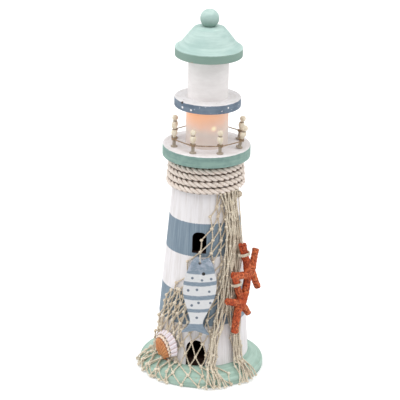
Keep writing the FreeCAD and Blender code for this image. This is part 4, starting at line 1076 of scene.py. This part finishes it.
# A binding is its middle, the way that the coral runs there, both in millimetres, and its reach round it.
coral_bindings = (((6.5, 113.5), (1.8, -10.5), 4.9 * MM), ((-3.7, 89.0), (1.8, -9.5), 4.3 * MM))
binding_radius = 0.6 * MM
binding_lay = 3.2 * MM
binding_rise = 2.4 * MM
binding_steps = 30
binding_lines = []
for (x, y), (dx, dy), reach in coral_bindings:
    stem = (coral_spot(x + dx, y + dy) - coral_spot(x - dx, y - dy)).normalized()
    facing = Vector(coral_frame.col[2][:3])
    binding_lines.append(winding(coral_spot(x, y), stem, facing, reach, binding_rise, 3 * binding_steps,
                                 binding_steps))
bindings = laid_up("coral_bindings", binding_lines, binding_radius, binding_lay)
bindings.data.materials.append(net_cream.material)
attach(bindings, "lighthouse")
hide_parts("coral_ties")

trunk_top = coral_spot(*coral_limbs[0][0][0])
hanger = laid_up("coral_hanger", [[trunk_top, trunk_top.lerp(tie_centre, 0.5), tie_centre]], binding_radius,
                 binding_lay)
hanger.data.materials.append(net_cream.material)
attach(hanger, "lighthouse")
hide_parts("coral_cord")


# ---------------------------------------------------------------- scallop shell
# Half of a real scallop, ribbed from its hinge to its rim and glued upright at the foot of the tower. It is
# orange-brown near the hinge and pale towards the rim, with a brown and a dashed dark line across it.
shell_azimuth = -50.0
shell_lift = 2.0 * MM
shell_foot = 15.35 * MM
shell_height = 26.5 * MM
shell_half_angle = math.radians(52.0)
shell_depth = 8.0 * MM
shell_ribs = 11
shell_lean = math.radians(12.0)
shell_wall = 1.2 * MM
shell_crown = 0.42
shell_draw_in = 0.75
rib_height = 0.34 * MM
rib_at_rim = 0.22 * MM
hinge_share = 0.04
ear_share = 0.22
ear_reach = 5.2 * MM
shell_columns = 120
shell_rows = 40

bpy.ops.object.select_all(action="DESELECT")
bpy.ops.mesh.primitive_grid_add(x_subdivisions=shell_columns, y_subdivisions=shell_rows, size=2)
shell = bpy.context.object
shell.name = "scallop_half"
flat_map(shell, 2, 0.5)
for vertex in shell.data.vertices:
    side, out = vertex.co.x, vertex.co.y / 2 + 0.5
    rib = math.cos(side * shell_ribs * math.pi)
    angle = side * shell_half_angle
    reach = shell_height * math.cos(angle) ** shell_draw_in + rib * rib_at_rim
    ear = max(0.0, 1 - out / ear_share) * abs(side) ** 1.5
    radius = reach * (hinge_share + (1 - hinge_share) * out)
    slope = (out - shell_crown) / (1 - shell_crown if out > shell_crown else shell_crown)
    dome = (1 - slope * slope) * (1 - 0.6 * side * side)
    x = math.sin(angle) * radius + math.copysign(ear * ear_reach, side)
    z = shell_depth * dome + rib * rib_height * min(1.0, out * 3)
    vertex.co = (x, math.cos(angle) * radius, z)
finished(shell, ("SOLIDIFY", {"thickness": shell_wall, "offset": -1}))
bpy.ops.object.shade_smooth()
shell.data.transform(slope_frame(shell_azimuth, shell_lift) @ Matrix.Translation((0, shell_foot, 0))
                     @ Matrix.Rotation(-shell_lean, 4, "Z"))

scallop = Shader("scallop_shell")
place = scallop.place()
fan = scallop.place("UV")
side, out = scallop.axis(fan, 0), scallop.axis(fan, 1)
growth = scallop.noise(scallop.vector(side * 3.0, out * 60.0), 1.0, 3.0)
patch = scallop.noise(place, 240.0, 4.0, 0.7)
wander = out + (patch - 0.5) * 0.05 + (side - 0.5) * 0.2
ribs = scallop.maths("COSINE", (side - 0.5) * (math.tau * shell_ribs))
orange = scallop.mix(scallop.ease(growth * 0.5 + patch * 0.5, 0.36, 0.62), colour(178, 104, 56),
                     colour(216, 154, 98))
cream = scallop.mix(patch, colour(234, 208, 176), colour(248, 238, 226))
margin = scallop.mix(patch, colour(216, 204, 216), colour(246, 240, 240))
shade = scallop.mix(scallop.ease(wander, 0.70, 0.73), orange, cream)
shade = scallop.mix(scallop.ease(wander, 0.82, 0.86), shade, margin)
brown_line = scallop.stripe(wander, 0.69, 0.73, 0.01)
shade = scallop.mix(brown_line * 0.8, shade, colour(122, 58, 30))
dash = scallop.stripe(wander, 0.7925, 0.8375, 0.0075) * (ribs > -0.3)
shade = scallop.mix(dash * 0.9, shade, colour(74, 52, 50))
shade = scallop.mix((1.0 - scallop.ease(ribs, -1.0, -0.3)) * 0.4, shade, colour(150, 84, 50))
scallop.surface(Base_Color=shade, Roughness=0.45 + patch * 0.2,
                Normal=scallop.bump(growth, 0.2 * MM, 0.7))
shell.data.materials.append(scallop.material)
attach(shell, "lighthouse")
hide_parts("scallop_shell")


# ---------------------------------------------------------------- lamp and wires
# A warm round lamp stands on a black bush in the deck. Two thin wires, one with a sleeved resistor, run down
# the hollow tower.
def plastic(name, light, deep, roughness=0.4):
    """Moulded plastic with a faint satin grain."""
    shader = Shader(name)
    grain = shader.noise(shader.place(), 1500.0, 3.0)
    shader.surface(Base_Color=shader.mix(grain, deep, light), Roughness=roughness + grain * 0.15,
                   Normal=shader.bump(grain, 0.05 * MM, 0.3))
    return shader


def metal(name, light, deep, roughness=0.3):
    """Plated or tinned metal, finely scuffed."""
    shader = Shader(name)
    scuff = shader.noise(shader.place(), 900.0, 4.0, 0.7)
    shader.surface(Base_Color=shader.mix(scuff, deep, light), Metallic=1.0, Roughness=roughness + scuff * 0.2,
                   Normal=shader.bump(scuff, 0.04 * MM, 0.3))
    return shader


lamp_dome = plastic("led_dome", colour(255, 236, 190), colour(250, 214, 150), 0.2)
lamp_dome.surface(Emission_Color=colour(255, 190, 110), Emission_Strength=1.5)
dress("led_bulb", lamp_dome)
black_plastic = plastic("black_plastic", colour(44, 44, 46), colour(26, 26, 28))
for node in ("led_holder", "resistor_sleeve", "wire_black"):
    dress(node, black_plastic)
dress("wire_red", plastic("red_wire", colour(196, 38, 32), colour(160, 26, 24)))
tinned = metal("tinned_steel", colour(206, 204, 198), colour(164, 162, 158))
dress("led_legs", tinned)


# ---------------------------------------------------------------- battery box and fastenings
# The box for two flat cells sits in a pocket under the foot, held by two screws, and its cover by one more.
# The head's turned blocks are joined by plain beech dowels.
for node in ("battery_box", "battery_cover", "switch_body", "switch_knob"):
    dress(node, black_plastic)
for node in ("contact_strips", "cover_link"):
    dress(node, tinned)
zinc = metal("zinc_steel", colour(196, 198, 200), colour(150, 152, 156), 0.35)
for node in ("cover_screw", "box_screws", "button_cells"):
    dress(node, zinc)
for node in ("head_dowels", "finial_dowel"):
    dress(node, peg_wood)
